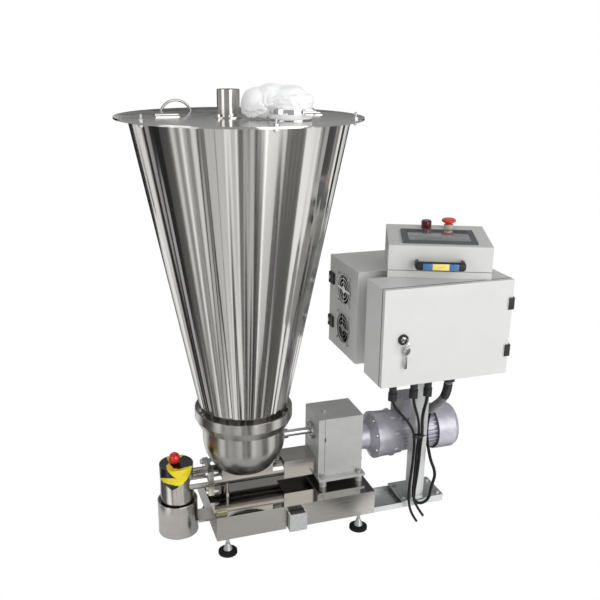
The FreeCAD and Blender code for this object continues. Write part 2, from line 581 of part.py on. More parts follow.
# Outlet sleeve on the ground side, held to the frame by a flat bar
sleeve_bar = block("head_x + sleeve_radius - sleeve_wall", "base_left + sleeve_bar_reach",
                   "-sleeve_bar_width / 2", "sleeve_bar_width / 2",
                   "base_bottom - sleeve_bar_thick", "base_bottom")
sleeve = fuse(rod("sleeve_radius", "head_x", "0", "sleeve_bottom", "sleeve_top - sleeve_bottom"), sleeve_bar)
finish(cut(sleeve, rod("sleeve_radius - sleeve_wall", "head_x", "0", "sleeve_bottom",
                       "sleeve_top - sleeve_bottom")), "outlet_sleeve")

# Base cover: folded tray turned over, with a notch for the stop in its front skirt
cover_outer = block("base_left", BASE_RIGHT, "-base_half_width", "base_half_width", "base_bottom", "base_top")
cover_inner = block("base_left + cover_wall", "%s - cover_wall" % BASE_RIGHT,
                    "-base_half_width + cover_wall", "base_half_width - cover_wall",
                    "base_bottom - 1", "base_top - cover_wall")
notch = block("stop_x - notch_play", "stop_x + stop_width + notch_play", "-base_half_width - 1",
              "-base_half_width + cover_wall + 1", "base_bottom - 1", "notch_top")
finish(cut(cover_outer, cover_inner, notch), "base_cover")

# Ground frame inside the cover: two long bars, cross bars and the stop's open box
FRAME_LEFT = "(base_left + cover_wall + frame_gap)"
FRAME_RIGHT = "(%s - cover_wall - frame_gap)" % BASE_RIGHT
FRAME_SIDE = "(base_half_width - cover_wall - frame_gap)"
FRAME_TOP = "(base_bottom + frame_height)"
bars = [
    block(FRAME_LEFT, FRAME_RIGHT, "-%s" % FRAME_SIDE, "-%s + frame_bar" % FRAME_SIDE,
          "base_bottom", FRAME_TOP),
    block(FRAME_LEFT, FRAME_RIGHT, "%s - frame_bar" % FRAME_SIDE, FRAME_SIDE, "base_bottom", FRAME_TOP),
]
for start in (FRAME_LEFT, "%s - frame_bar" % FRAME_RIGHT, "cell_x"):
    bars.append(block(start, "%s + frame_bar" % start, "-%s + 1" % FRAME_SIDE, "%s - 1" % FRAME_SIDE,
                      "base_bottom", "%s - frame_pad_thick" % FRAME_TOP))
bars.append(block("cell_x", "cell_x + frame_bar", "-cell_width / 2", "cell_width / 2",
                  "base_bottom", FRAME_TOP))
STOP_FRONT = "(-base_half_width - stop_reach)"
STOP_BACK = "(-base_half_width - notch_play)"
stop_box = cut(
    block("stop_x", "stop_x + stop_width", STOP_FRONT, STOP_BACK, "stop_bottom", "stop_bottom + stop_height"),
    block("stop_x + stop_wall", "stop_x + stop_width - stop_wall", "%s + stop_wall" % STOP_FRONT,
          "%s + 1" % STOP_BACK, "stop_bottom + stop_wall", "stop_bottom + stop_height + 1"))
stop_tongue = block("stop_x", "stop_x + stop_width", "%s - 1" % STOP_BACK,
                    "-%s + 1" % FRAME_SIDE, "stop_bottom", "stop_bottom + stop_wall")
finish(fuse(*bars, stop_box, stop_tongue), "ground_frame")

# Load cell: a single-point bar with the usual double-eye opening
CELL_BOTTOM = "(%s + cell_seat)" % FRAME_TOP
cell = fuse(
    block("cell_x", "cell_x + cell_length", "-cell_width / 2", "cell_width / 2", CELL_BOTTOM,
          "%s + cell_height" % CELL_BOTTOM),
    block("cell_x", "cell_x + frame_bar", "-cell_width / 2", "cell_width / 2", FRAME_TOP, CELL_BOTTOM),
    block("cell_x + cell_length - frame_bar", "cell_x + cell_length", "-cell_width / 2",
          "cell_width / 2", "%s + cell_height" % CELL_BOTTOM, "base_top - cover_wall"))
CELL_MIDDLE = "(%s + cell_height / 2)" % CELL_BOTTOM
eyes = [rod("cell_eye", "cell_x + cell_length / 2 %s 22" % sign, "-cell_width", CELL_MIDDLE,
            "cell_width * 2", "y") for sign in ("-", "+")]
eyes.append(block("cell_x + cell_length / 2 - 22", "cell_x + cell_length / 2 + 22", "-cell_width",
                  "cell_width", "%s - cell_eye / 2" % CELL_MIDDLE, "%s + cell_eye / 2" % CELL_MIDDLE))
finish(cut(cell, *eyes), "load_cell")

# Levelling feet: threaded stems with a conical hub, on rubber pads
foot_x = ("base_left + foot_inset_x", "%s - foot_inset_x + 1" % BASE_RIGHT)
foot_y = ("-base_half_width + foot_inset_y", "base_half_width - foot_inset_y")
stems = []
pads = []
for x in foot_x:
    for y in foot_y:
        over_channel = x == foot_x[1] and y == foot_y[0]
        nut_top = "(base_bottom - channel_wall)" if over_channel else "base_bottom"
        stems.append(fuse(
            rod("foot_stem_radius", x, y, "foot_pad + foot_neck / 2",
                "base_bottom - foot_pad - foot_neck / 2"),
            cone("foot_neck_radius", "foot_stem_radius + 1", x, y, "foot_pad", "foot_neck"),
            hexagon("hex_across * 1.3", x, y, "%s - hex_height * 1.2" % nut_top, "hex_height * 1.2")))
        pads.append(fuse(rod("foot_radius", x, y, "0", "foot_pad * 0.6"),
                         cone("foot_radius", "foot_neck_radius + 2", x, y, "foot_pad * 0.6",
                              "foot_pad * 0.4")))
finish(group(*stems), "foot_stems")
finish(group(*pads), "foot_pads")

# Lantern block between the barrel and the gear housing
lantern = block("barrel_right", "housing_left", "-lantern_half_width", "lantern_half_width",
                "lantern_bottom", "lantern_top")
finish(cut(lantern, *twin("shaft_radius + shaft_play * 8", "barrel_right - 1",
                          "housing_left - barrel_right + 2")), "lantern_block")

# Gear housing: left cover plate, hollow body with its end wall, and the plate it stands on
BODY_LEFT = "(housing_left + housing_cover)"
CAVITY_RIGHT = "(housing_left + housing_length)"
cover_plate = block("housing_left", BODY_LEFT, "-housing_half_width", "housing_half_width",
                    "housing_bottom", "housing_top")
bearing_seats = [*twin("bearing_radius", "housing_left - 1", "housing_cover + 2"),
                 rod("stir_bearing_radius", "housing_left - 1", "0", STIR_AXIS, "housing_cover + 2", "x")]
finish(cut(cover_plate, *bearing_seats), "housing_cover")

housing_solid = fuse(
    block(BODY_LEFT, HOUSING_RIGHT, "-housing_half_width", "housing_half_width", "housing_bottom",
          "housing_top"),
    hexagon("hex_across", "housing_left + 34", "-6", "housing_top", "hex_height"))
housing_cavity = block("%s - 1" % BODY_LEFT, CAVITY_RIGHT, "-housing_half_width + housing_wall",
                       "housing_half_width - housing_wall", "housing_bottom + housing_wall",
                       "housing_top - housing_wall")
end_bore = rod("drive_shaft_radius + shaft_play", CAVITY_RIGHT, "0", MOTOR_AXIS, "housing_end * 3", "x")
end_pockets = twin("shaft_radius + shaft_play", "%s - 1" % CAVITY_RIGHT, "housing_end / 2")
finish(cut(housing_solid, housing_cavity, end_bore, *end_pockets), "gear_housing")

PLATE_LEFT = "(housing_left - plate_overhang)"
PLATE_RIGHT = "(%s + plate_overhang)" % HOUSING_RIGHT
PLATE_BOTTOM = "(housing_bottom - plate_thick)"
spacer_places = [(x, y) for x in ("%s + spacer_inset_x" % PLATE_LEFT, "%s - spacer_inset_x" % PLATE_RIGHT)
                 for y in ("-plate_half_width + spacer_inset_y", "plate_half_width - spacer_inset_y")]
plate = fuse(block(PLATE_LEFT, PLATE_RIGHT, "-plate_half_width", "plate_half_width", PLATE_BOTTOM,
                   "housing_bottom"),
             *[rod("spacer_radius", x, y, "base_top", "%s - base_top" % PLATE_BOTTOM)
               for x, y in spacer_places])
plate_holes = [rod("screw_shank + shaft_play", x, y, "base_top", "housing_bottom - base_top")
               for x, y in spacer_places]
finish(cut(plate, *plate_holes), "housing_base")

# Bearings: rings in the cover plate, and a flanged one round the agitator shaft
bearings = [cut(rod("bearing_radius", "housing_left", side + "screw_half_spacing", "screw_axis",
                    "housing_cover", "x"),
                rod("shaft_radius + shaft_play", "housing_left", side + "screw_half_spacing",
                    "screw_axis", "housing_cover", "x")) for side in ("-", "")]
bearings.append(cut(
    fuse(rod("stir_bearing_radius", "housing_left", "0", STIR_AXIS, "housing_cover", "x"),
         rod("stir_flange_radius", "housing_left - stir_flange_thick", "0", STIR_AXIS,
             "stir_flange_thick", "x"),
         *[rod("screw_shank", "housing_left - stir_flange_thick - 3",
               "(stir_flange_radius - 6) * cos(%d)" % turn,
               "%s + (stir_flange_radius - 6) * sin(%d)" % (STIR_AXIS, turn), "4", "x")
           for turn in (45, 135, 225, 315)]),
    rod("shaft_radius + shaft_play", "housing_left - stir_flange_thick - 1", "0", STIR_AXIS,
        "housing_cover + stir_flange_thick + 2", "x")))
finish(group(*bearings), "shaft_bearings")


def tooth_outline(teeth, phase):
    """Corners of a spur gear's involute outline, four to a tooth flank pair."""
    module = number("gear_module")
    backlash = number("gear_backlash")
    pitch_radius = module * teeth / 2
    base_radius = pitch_radius * math.cos(math.radians(20))
    tip_radius = pitch_radius + 0.85 * module
    root_radius = pitch_radius - 1.15 * module
    pitch_involute = math.tan(math.radians(20)) - math.radians(20)

    def half_angle(radius):
        press = math.acos(min(1.0, base_radius / radius))
        involute = math.tan(press) - press
        return math.pi / 2 / teeth * (1 - backlash) + pitch_involute - involute

    corners = []
    for tooth in range(teeth):
        middle = phase + 2 * math.pi * tooth / teeth
        for radius, side in ((root_radius, -1), (pitch_radius, -1), (tip_radius, -1),
                             (tip_radius, 1), (pitch_radius, 1), (root_radius, 1)):
            turn = middle + side * half_angle(max(radius, base_radius))
            corners.append((radius * math.cos(turn), radius * math.sin(turn)))
    return corners


def gear(teeth_text, phase, x, y, z, face):
    """A spur gear whose axis runs along +X; the phase is measured from +Y towards +Z."""
    corners = [FreeCAD.Vector(0, across, up)
               for across, up in tooth_outline(int(number(teeth_text)), phase)]
    wire = Part.makePolygon(corners + corners[:1])
    solid = Part.Face(wire).extrude(FreeCAD.Vector(number(face), 0, 0))
    item = new("Part::Feature", "gear")
    item.Shape = solid
    return place(item, x, y, z)


def meshing_phase(line, teeth, own_teeth, phase):
    """The phase that puts a gap of the second gear over the first gear's tooth on the centre line."""
    pitch_turn = (line - phase) * teeth / own_teeth
    return line + math.pi + pitch_turn + math.pi / own_teeth


def flight(start, end, phase):
    """A helical flight as flat facets round the core, for a screw along +X."""
    pitch = number("screw_pitch")
    outer = number("screw_radius")
    inner = number("core_radius") - 1.5
    root_half = number("flight_thick") * 0.8
    tip_half = number("flight_thick") / 2
    steps_per_turn = 14
    steps = int((end - start) / pitch * steps_per_turn)
    rings = []
    for step in range(steps + 1):
        turn = phase + 2 * math.pi * step / steps_per_turn
        along = start + pitch * step / steps_per_turn
        aim = (math.cos(turn), math.sin(turn))
        rings.append([FreeCAD.Vector(along + shift, radius * aim[0], radius * aim[1])
                      for shift, radius in ((-root_half, inner), (-tip_half, outer),
                                            (tip_half, outer), (root_half, inner))])
    faces = []
    for near, far in zip(rings, rings[1:]):
        for index in range(4):
            following = (index + 1) % 4
            faces.append(Part.Face(Part.makePolygon([near[index], near[following], far[index], near[index]])))
            faces.append(Part.Face(Part.makePolygon([near[following], far[following], far[index],
                                                     near[following]])))
    for ring in (rings[0], rings[-1]):
        faces.append(Part.Face(Part.makePolygon(ring + ring[:1])))
    solid = Part.makeSolid(Part.makeShell(faces))
    if solid.Volume < 0:
        solid.reverse()
    item = new("Part::Feature", "flight")
    item.Shape = solid
    return item


# Gear phases: the drive gear has a tooth towards each screw gear's gap
DROP = number(SCREW_DROP)
HALF = number("screw_half_spacing")
drive_teeth = int(number("drive_teeth"))
screw_teeth = int(number("screw_teeth"))
pinion_teeth = int(number("stir_pinion_teeth"))
stir_teeth = int(number("stir_gear_teeth"))
screw_gear_places = {"front": DRIVE_GEAR_X + " + 1",
                     "rear": DRIVE_GEAR_X + " + drive_gear_face - screw_gear_face - 1"}

for name, side in (("front", "-"), ("rear", "")):
    line = math.atan2(-DROP, -HALF if side else HALF)
    phase = meshing_phase(line, drive_teeth, screw_teeth, 0)
    core = rod("core_radius", "screw_tip", "0", "0", "barrel_right - screw_tip", "x")
    shank = rod("shaft_radius", "barrel_right - 12", "0", "0",
                "%s + housing_end / 2 - 2 - barrel_right + 12" % CAVITY_RIGHT, "x")
    wing = flight(number("screw_tip") + 3, number("flight_end"), 0)
    pinion = gear("screw_teeth", phase, screw_gear_places[name], "0", "0", "screw_gear_face")
    screw = fuse(core, shank, wing, pinion)
    place(screw, "0", side + "screw_half_spacing", "screw_axis")
    finish(screw, "screw_" + name)

# Drive shaft with the wide drive gear and the agitator's pinion
drive_shaft = fuse(
    rod("pinion_shaft_radius", "%s - 4" % STIR_GEAR_X, "0", MOTOR_AXIS, "drive_gear_gap + 30", "x"),
    rod("drive_shaft_radius", "%s - 3" % DRIVE_GEAR_X, "0", MOTOR_AXIS,
        "%s + reducer_neck - %s" % (HOUSING_RIGHT, DRIVE_GEAR_X), "x"),
    gear("drive_teeth", 0, DRIVE_GEAR_X, "0", MOTOR_AXIS, "drive_gear_face"),
    gear("stir_pinion_teeth", 0, STIR_GEAR_X, "0", MOTOR_AXIS, "stir_gear_face"))
finish(drive_shaft, "drive_shaft")

# Agitator: a shaft across the bowl with crossed arms and two stirring bars
arms = []
for x in ("-arm_pitch * 1.5", "arm_pitch / 2"):
    arms.append(rod("arm_rod", x, "-arm_radius", STIR_AXIS, "arm_radius * 2", "y"))
for x in ("-arm_pitch / 2", "arm_pitch * 1.5"):
    arms.append(rod("arm_rod", x, "0", "%s - arm_radius" % STIR_AXIS, "arm_radius * 2"))
for sign in ("-", "+"):
    arms.append(rod("arm_rod * 0.8", "-arm_pitch / 2", "0", "%s %s arm_radius" % (STIR_AXIS, sign),
                    "arm_pitch * 2", "x"))
    arms.append(rod("arm_rod * 0.8", "-arm_pitch * 1.5", "0 %s arm_radius" % sign, STIR_AXIS,
                    "arm_pitch * 2", "x"))
STIR_PHASE = meshing_phase(math.pi / 2, pinion_teeth, stir_teeth, 0)
agitator = fuse(
    rod("shaft_radius", "stir_tip", "0", STIR_AXIS, "%s + stir_gear_face + 3 - stir_tip" % STIR_GEAR_X, "x"),
    gear("stir_gear_teeth", STIR_PHASE, STIR_GEAR_X, "0", STIR_AXIS, "stir_gear_face"), *arms)
finish(agitator, "agitator")

# Socket-head screws: four on the housing plate, four on each barrel flange pair
socket_screws = [socket_screw(x, y, "housing_bottom", "plate_thick * 2") for x, y in spacer_places]
socket_screws += [socket_screw("barrel_left + barrel_flange", y, z, "barrel_flange * 2", "x")
                  for y, z in flange_screw_places]

# Gear motor: reducer, finned motor, terminal box, cowl and its fan
reducer = lathe([
    ("drive_shaft_radius + shaft_play", "0"),
    ("reducer_neck_radius", "0"),
    ("reducer_neck_radius", "reducer_neck"),
    ("reducer_flange_radius - 6", "reducer_neck + reducer_cone"),
    ("reducer_flange_radius", "reducer_neck + reducer_cone + 2"),
    ("reducer_flange_radius", "reducer_neck + reducer_cone + reducer_flange"),
    ("reducer_radius", "reducer_neck + reducer_cone + reducer_flange"),
    ("reducer_radius - 2", "reducer_neck + reducer_cone + reducer_flange + reducer_length"),
    ("reducer_ring_radius", "reducer_neck + reducer_cone + reducer_flange + reducer_length"),
    ("reducer_ring_radius", "reducer_neck + reducer_cone + reducer_flange + reducer_length + reducer_ring"),
    ("0", "reducer_neck + reducer_cone + reducer_flange + reducer_length + reducer_ring"),
    ("0", "reducer_neck"),
    ("drive_shaft_radius + shaft_play", "reducer_neck"),
], "reducer_body", HOUSING_RIGHT, MOTOR_AXIS)
finish(reducer, "reducer_casing", HOUSING_RIGHT)


def radial_plate(x, length, height, turn):
    """A flat plate standing out from the motor's axis, turned about it."""
    item = new("Part::Box", "plate")
    tie(item, "Length", length)
    tie(item, "Width", "fin_thick")
    tie(item, "Height", height)
    item.Placement = FreeCAD.Placement(FreeCAD.Vector(0, 0, 0),
                                       FreeCAD.Rotation(FreeCAD.Vector(1, 0, 0), turn))
    tie(item, "Placement.Base.x", x)
    tie(item, "Placement.Base.y", "-fin_thick / 2 * cos(%s)" % turn)
    tie(item, "Placement.Base.z", "%s - fin_thick / 2 * sin(%s)" % (MOTOR_AXIS, turn))
    return item


fin_total = int(number("fin_count"))
fin_turns = [360.0 * index / fin_total for index in range(fin_total)]
motor = fuse(rod("motor_radius", MOTOR_X, "0", MOTOR_AXIS, "motor_length", "x"),
             rod("motor_stub_radius", "%s + motor_length" % MOTOR_X, "0", MOTOR_AXIS,
                 "motor_fan_gap + motor_fan_width - 2", "x"),
             *[radial_plate("%s + 3" % MOTOR_X, "motor_length - cowl_lap - 6",
                            "motor_radius + fin_height", turn)
               for turn in fin_turns if 30 < turn < 330])
finish(motor, "motor_body")

terminal = fuse(
    block("terminal_left", "terminal_left + terminal_length", "-terminal_half_width",
          "terminal_half_width", "%s + motor_radius - 12" % MOTOR_AXIS, "terminal_top - terminal_lid"),
    block("terminal_left - 2", "terminal_left + terminal_length + 2", "-terminal_half_width - 2",
          "terminal_half_width + 2", "terminal_top - terminal_lid", "terminal_top"))
motor_room = rod("reducer_ring_radius + seat_gap", "%s - 60" % MOTOR_X, "0", MOTOR_AXIS, "200", "x")
finish(cut(terminal, motor_room), "terminal_box")

cowl_tube = lathe([
    ("cowl_radius - cowl_wall", "0"),
    ("cowl_radius", "0"),
    ("cowl_radius", "cowl_length - cowl_round"),
    ("cowl_radius - cowl_round * 0.35", "cowl_length - cowl_round * 0.35"),
    ("cowl_radius - cowl_round", "cowl_length"),
    ("cowl_radius - cowl_round - 10", "cowl_length"),
    ("cowl_radius - cowl_round - 10", "cowl_length - cowl_wall"),
    ("cowl_radius - cowl_round - cowl_wall", "cowl_length - cowl_wall"),
    ("cowl_radius - cowl_wall - cowl_round * 0.35", "cowl_length - cowl_wall - cowl_round * 0.35"),
    ("cowl_radius - cowl_wall", "cowl_length - cowl_wall - cowl_round"),
], "cowl_body", COWL_X, MOTOR_AXIS)
GRILLE_X = "(%s - cowl_wall)" % MOTOR_END
grille = [tube("cowl_radius - cowl_round - %d" % outer, "cowl_radius - cowl_round - %d" % (outer + 4),
               GRILLE_X, "0", MOTOR_AXIS, "cowl_wall", "x") for outer in (18, 30)]
grille.append(rod("13", GRILLE_X, "0", MOTOR_AXIS, "cowl_wall", "x"))
grille.append(block(GRILLE_X, "%s + cowl_wall" % GRILLE_X, "-cowl_radius + cowl_round + 4",
                    "cowl_radius - cowl_round - 4", "%s - 2.5" % MOTOR_AXIS, "%s + 2.5" % MOTOR_AXIS))
grille.append(block(GRILLE_X, "%s + cowl_wall" % GRILLE_X, "-2.5", "2.5",
                    "%s - cowl_radius + cowl_round + 4" % MOTOR_AXIS,
                    "%s + cowl_radius - cowl_round - 4" % MOTOR_AXIS))
mount_feet = [block("%s + 2" % COWL_X, "%s + cowl_lap - 6" % COWL_X, "-5", "5",
                    "%s %s" % (MOTOR_AXIS, low), "%s %s" % (MOTOR_AXIS, high))
              for low, high in (("+ motor_radius + 0.3", "+ cowl_radius - cowl_wall / 2"),
                                ("- cowl_radius + cowl_wall / 2", "- motor_radius - 0.3"))]
finish(fuse(cowl_tube, *grille, *mount_feet), "fan_cowl")

FAN_X = "(%s + motor_length + motor_fan_gap)" % MOTOR_X
motor_fan = cut(
    fuse(rod("motor_fan_hub", FAN_X, "0", MOTOR_AXIS, "motor_fan_width", "x"),
         *[radial_plate("%s + 3" % FAN_X, "motor_fan_width - 6", "motor_fan_radius", 360.0 * index / 7)
           for index in range(7)]),
    rod("motor_stub_radius + shaft_play", FAN_X, "0", MOTOR_AXIS, "motor_fan_width - 1", "x"))
finish(motor_fan, "motor_fan")

# Outrigger channel and the cabinet post welded to its plate
channel = fuse(
    block("%s - channel_lap" % BASE_RIGHT, "channel_end", "channel_front", "channel_back",
          "base_bottom - channel_wall", "base_bottom"),
    *[block("%s + 2" % BASE_RIGHT, "channel_end", low, high, "base_bottom - channel_wall", CHANNEL_TOP)
      for low, high in (("channel_front", "channel_front + channel_wall"),
                        ("channel_back - channel_wall", "channel_back"))])
foot_hole = rod("foot_stem_radius + seat_gap", foot_x[1], foot_y[0], "base_bottom - channel_wall * 2",
                "channel_wall * 3")
finish(cut(channel, foot_hole), "outrigger_channel")

rails = [block("post_x - rail_half_length", "post_x + rail_half_length", low, high, z,
               "%s + rail_height" % z)
         for low, high in ((FRONT_CABINET_BACK, "post_y - post_side / 2"),
                           ("post_y + post_side / 2", REAR_CABINET_FACE))
         for z in ("rail_low", "rail_high")]
POST_TOP = "(cabinet_top - box_clear * 2)"
post = cut(
    block("post_x - post_side / 2", "post_x + post_side / 2", "post_y - post_side / 2",
          "post_y + post_side / 2", POST_FOOT, POST_TOP),
    block("post_x - post_side / 2 + post_wall", "post_x + post_side / 2 - post_wall",
          "post_y - post_side / 2 + post_wall", "post_y + post_side / 2 - post_wall",
          POST_FOOT, "%s - post_wall * 2" % POST_TOP))
foot_plate = block("post_plate_left", "channel_end", "channel_front - post_plate_lap",
                   "channel_back + post_plate_lap", CHANNEL_TOP, POST_FOOT)
swivel_pin = rod("swivel_radius", "post_x", "post_y", "%s - 2" % POST_TOP, "swivel_height + 2")
plate_bolt_places = [(x, y) for x in ("post_plate_left + 12", "channel_end - 12")
                     for y in ("channel_front + 16", "channel_back - 16")]
post_holes = [rod("screw_shank + shaft_play", x, y, "%s - 1" % CHANNEL_TOP, "post_plate_thick + 2")
              for x, y in plate_bolt_places]
finish(cut(fuse(post, foot_plate, swivel_pin, *rails), *post_holes), "cabinet_post")

# Hexagon bolts: six round the lid, four in the post's plate
hex_bolts = [hex_bolt(x, y, "lid_top", "lid_thick + rim_thick") for x, y in bolt_places]
hex_bolts += [hex_bolt(x, y, POST_FOOT, "post_plate_thick", False) for x, y in plate_bolt_places]
finish(group(*socket_screws, *hex_bolts), "fasteners")


def open_box(x0, x1, y0, y1, open_low):
    """A cabinet shell with a lip round its open side, which faces -Y when open_low is true."""
    outer = block(x0, x1, y0, y1, "cabinet_bottom", "cabinet_top")
    low = "(%s) - 1" % y0 if open_low else "(%s) + cabinet_wall" % y0
    high = "(%s) - cabinet_wall" % y1 if open_low else "(%s) + 1" % y1
    room = block("(%s) + cabinet_wall" % x0, "(%s) - cabinet_wall" % x1,
                 "(%s) + cabinet_wall" % y0, "(%s) - cabinet_wall" % y1,
                 "cabinet_bottom + cabinet_wall", "cabinet_top - cabinet_wall")
    mouth = block("(%s) + cabinet_lip" % x0, "(%s) - cabinet_lip" % x1, low, high,
                  "cabinet_bottom + cabinet_lip", "cabinet_top - cabinet_lip")
    return outer, room, mouth


def door_pan(x0, x1, y0, y1, hollow_low):
    """A folded door, hollow on its inner side."""
    inner_low = "(%s) - 1" % y0 if hollow_low else "(%s) + door_wall" % y0
    inner_high = "(%s) - door_wall" % y1 if hollow_low else "(%s) + 1" % y1
    return cut(block(x0, x1, y0, y1, "cabinet_bottom", "cabinet_top"),
               block("(%s) + door_wall" % x0, "(%s) - door_wall" % x1, inner_low, inner_high,
                     "cabinet_bottom + door_wall", "cabinet_top - door_wall"))


# Front cabinet, its door and hinges
FRONT_RIGHT = "(front_cabinet_left + front_width)"
outer, room, mouth = open_box("front_cabinet_left", FRONT_RIGHT, FRONT_CABINET_FACE,
                              FRONT_CABINET_BACK, True)
gland_list = (
    ("gland_left", "gland_body_radius", "gland_body", "cable_radius"),
    ("gland_middle", "gland_body_radius", "gland_body", "cable_radius"),
    ("gland_right", "gland_body_radius", "gland_body", "thick_cable_radius"),
    ("gland_conduit", "conduit_gland_radius", "conduit_gland_body", "conduit_radius"),
)
gland_holes = [rod("%s + seat_gap" % radius, x, "gland_y", "cabinet_bottom - 1", "cabinet_wall + 2")
               for x, radius, body_length, cable in gland_list]
finish(cut(outer, room, mouth, *gland_holes), "front_cabinet")

DOOR_BACK = "(%s - door_gap)" % FRONT_CABINET_FACE
DOOR_FACE = "(%s - door_thick)" % DOOR_BACK
FRONT_HINGE_X = "(%s + hinge_out)" % FRONT_RIGHT
REAR_RIGHT = "(rear_cabinet_left + rear_width)"
REAR_DOOR_INNER = "(%s + door_gap)" % REAR_CABINET_BACK
REAR_DOOR_FACE = "(%s + door_thick)" % REAR_DOOR_INNER
REAR_HINGE_X = "(rear_cabinet_left - hinge_out)"
hinge_heights = ("cabinet_bottom + hinge_low", "cabinet_bottom + hinge_high")


def hinge_ear_set(axis_x, axis_y, wall_x0, wall_x1, leaf_y0, leaf_y1, z):
    """Fixed half of a hinge: two ears, the pin and the leaf on the cabinet's side wall."""
    low = "(%s) - hinge_height / 2" % z
    third = "hinge_height / 3"
    body = fuse(rod("hinge_radius", axis_x, axis_y, low, "hinge_height"),
                block(wall_x0, wall_x1, leaf_y0, leaf_y1, low, "(%s) + hinge_height" % low))
    sleeve_room = rod("hinge_radius + 2", axis_x, axis_y, "(%s) + %s" % (low, third), third)
    pin = rod("hinge_pin", axis_x, axis_y, low, "hinge_height")
    return fuse(cut(body, sleeve_room), pin)


def hinge_sleeve(axis_x, axis_y, door_x0, door_x1, door_y0, door_y1, z):
    """Moving half of a hinge: the sleeve on the pin and its wing on the door."""
    low = "(%s) - hinge_height / 6 + 0.3" % z
    height = "hinge_height / 3 - 0.6"
    return fuse(rod("hinge_radius", axis_x, axis_y, low, height),
                block(door_x0, door_x1, door_y0, door_y1, low, "(%s) + %s" % (low, height)))


FRONT_HINGE_Y = "(%s + door_thick / 2)" % DOOR_FACE
REAR_HINGE_Y = "(%s - door_thick / 2)" % REAR_DOOR_FACE
hinge_fixed = []
front_wings = []
rear_wings = []
for z in hinge_heights:
    hinge_fixed.append(hinge_ear_set(FRONT_HINGE_X, FRONT_HINGE_Y, FRONT_RIGHT,
                                     "%s + hinge_out + 1" % FRONT_RIGHT, FRONT_HINGE_Y,
                                     "%s + 22" % FRONT_CABINET_FACE, z))
    front_wings.append(block("%s - 15" % FRONT_RIGHT, "%s + 0.5" % FRONT_RIGHT, "%s - 3" % DOOR_FACE,
                             "%s + 4" % DOOR_FACE, "(%s) - hinge_height / 2" % z,
                             "(%s) + hinge_height / 2" % z))
    front_wings.append(hinge_sleeve(FRONT_HINGE_X, FRONT_HINGE_Y, "%s - 2" % FRONT_RIGHT,
                                    FRONT_HINGE_X, "%s - 3" % FRONT_HINGE_Y,
                                    "%s + 3" % FRONT_HINGE_Y, z))
    hinge_fixed.append(hinge_ear_set(REAR_HINGE_X, REAR_HINGE_Y, "rear_cabinet_left - hinge_out - 1",
                                     "rear_cabinet_left", "%s - 22" % REAR_CABINET_BACK,
                                     REAR_HINGE_Y, z))
    rear_wings.append(hinge_sleeve(REAR_HINGE_X, REAR_HINGE_Y, REAR_HINGE_X,
                                   "rear_cabinet_left + 2", "%s - 3" % REAR_HINGE_Y,
                                   "%s + 3" % REAR_HINGE_Y, z))
finish(group(*hinge_fixed), "cabinet_hinges")

front_pins = [rod("hinge_pin + hinge_play", FRONT_HINGE_X, FRONT_HINGE_Y, "(%s) - hinge_height" % z,
                  "hinge_height * 2") for z in hinge_heights]
front_pan = door_pan("front_cabinet_left", FRONT_RIGHT, DOOR_FACE, DOOR_BACK, False)
lock_hole = rod("lock_barrel", "lock_x", "%s - 1" % DOOR_FACE, "lock_z", "door_wall + 2", "y")
finish(cut(fuse(front_pan, *front_wings), lock_hole, *front_pins), "front_door")

rear_pins = [rod("hinge_pin + hinge_play", REAR_HINGE_X, REAR_HINGE_Y, "(%s) - hinge_height" % z,
                 "hinge_height * 2") for z in hinge_heights]
rear_pan = door_pan("rear_cabinet_left", REAR_RIGHT, REAR_DOOR_INNER, REAR_DOOR_FACE, True)
rear_lock = rod("lock_ring", "%s - 60" % REAR_RIGHT, REAR_DOOR_FACE, "lock_z", "lock_ring_thick", "y")
finish(cut(fuse(rear_pan, rear_lock, *rear_wings), *rear_pins), "rear_door")

# Door lock: escutcheon and barrel on the door, turning core with its cam and keys
lock_housing = fuse(
    rod("lock_ring", "lock_x", "%s - lock_ring_thick" % DOOR_FACE, "lock_z", "lock_ring_thick", "y"),
    rod("lock_barrel", "lock_x", "%s - lock_ring_thick / 2" % DOOR_FACE, "lock_z",
        "lock_depth - 4", "y"))
finish(cut(lock_housing, rod("lock_core + shaft_play", "lock_x", "%s - lock_depth" % DOOR_FACE,
                             "lock_z", "lock_depth * 3", "y")), "door_lock")
CORE_FACE = "(%s - lock_ring_thick - 1)" % DOOR_FACE
CAM_Y = "(%s + lock_depth)" % DOOR_FACE
lock_core = fuse(
    rod("lock_core", "lock_x", CORE_FACE, "lock_z", "lock_depth + lock_ring_thick + 1 + cam_thick", "y"),
    block("lock_x - cam_width / 2", "lock_x + cam_width / 2", CAM_Y, "%s + cam_thick" % CAM_Y,
          "lock_z - cam_length", "lock_z"),
    block("lock_x - key_thick / 2", "lock_x + key_thick / 2", "%s - 9" % CORE_FACE,
          "%s + 1" % CORE_FACE, "lock_z - 4", "lock_z + 4"),
    cut(rod("key_bow", "lock_x - key_thick / 2", "%s - 6 - key_bow" % CORE_FACE, "lock_z - 3",
            "key_thick", "x"),
        rod("3.5", "lock_x - key_thick", "%s - 14 - key_bow" % CORE_FACE, "lock_z - 5",
            "key_thick * 2", "x")))
finish(lock_core, "lock_core")

# Rear cabinet with two fan openings in its left wall
outer, room, mouth = open_box("rear_cabinet_left", REAR_RIGHT, REAR_CABINET_FACE,
                              REAR_CABINET_BACK, False)
fan_heights = ("fan_low", "fan_high")
fan_openings = [rod("fan_bore", "rear_cabinet_left - 1", "fan_y", z, "cabinet_wall + 2", "x")
                for z in fan_heights]
finish(cut(outer, room, mouth, *fan_openings), "rear_cabinet")

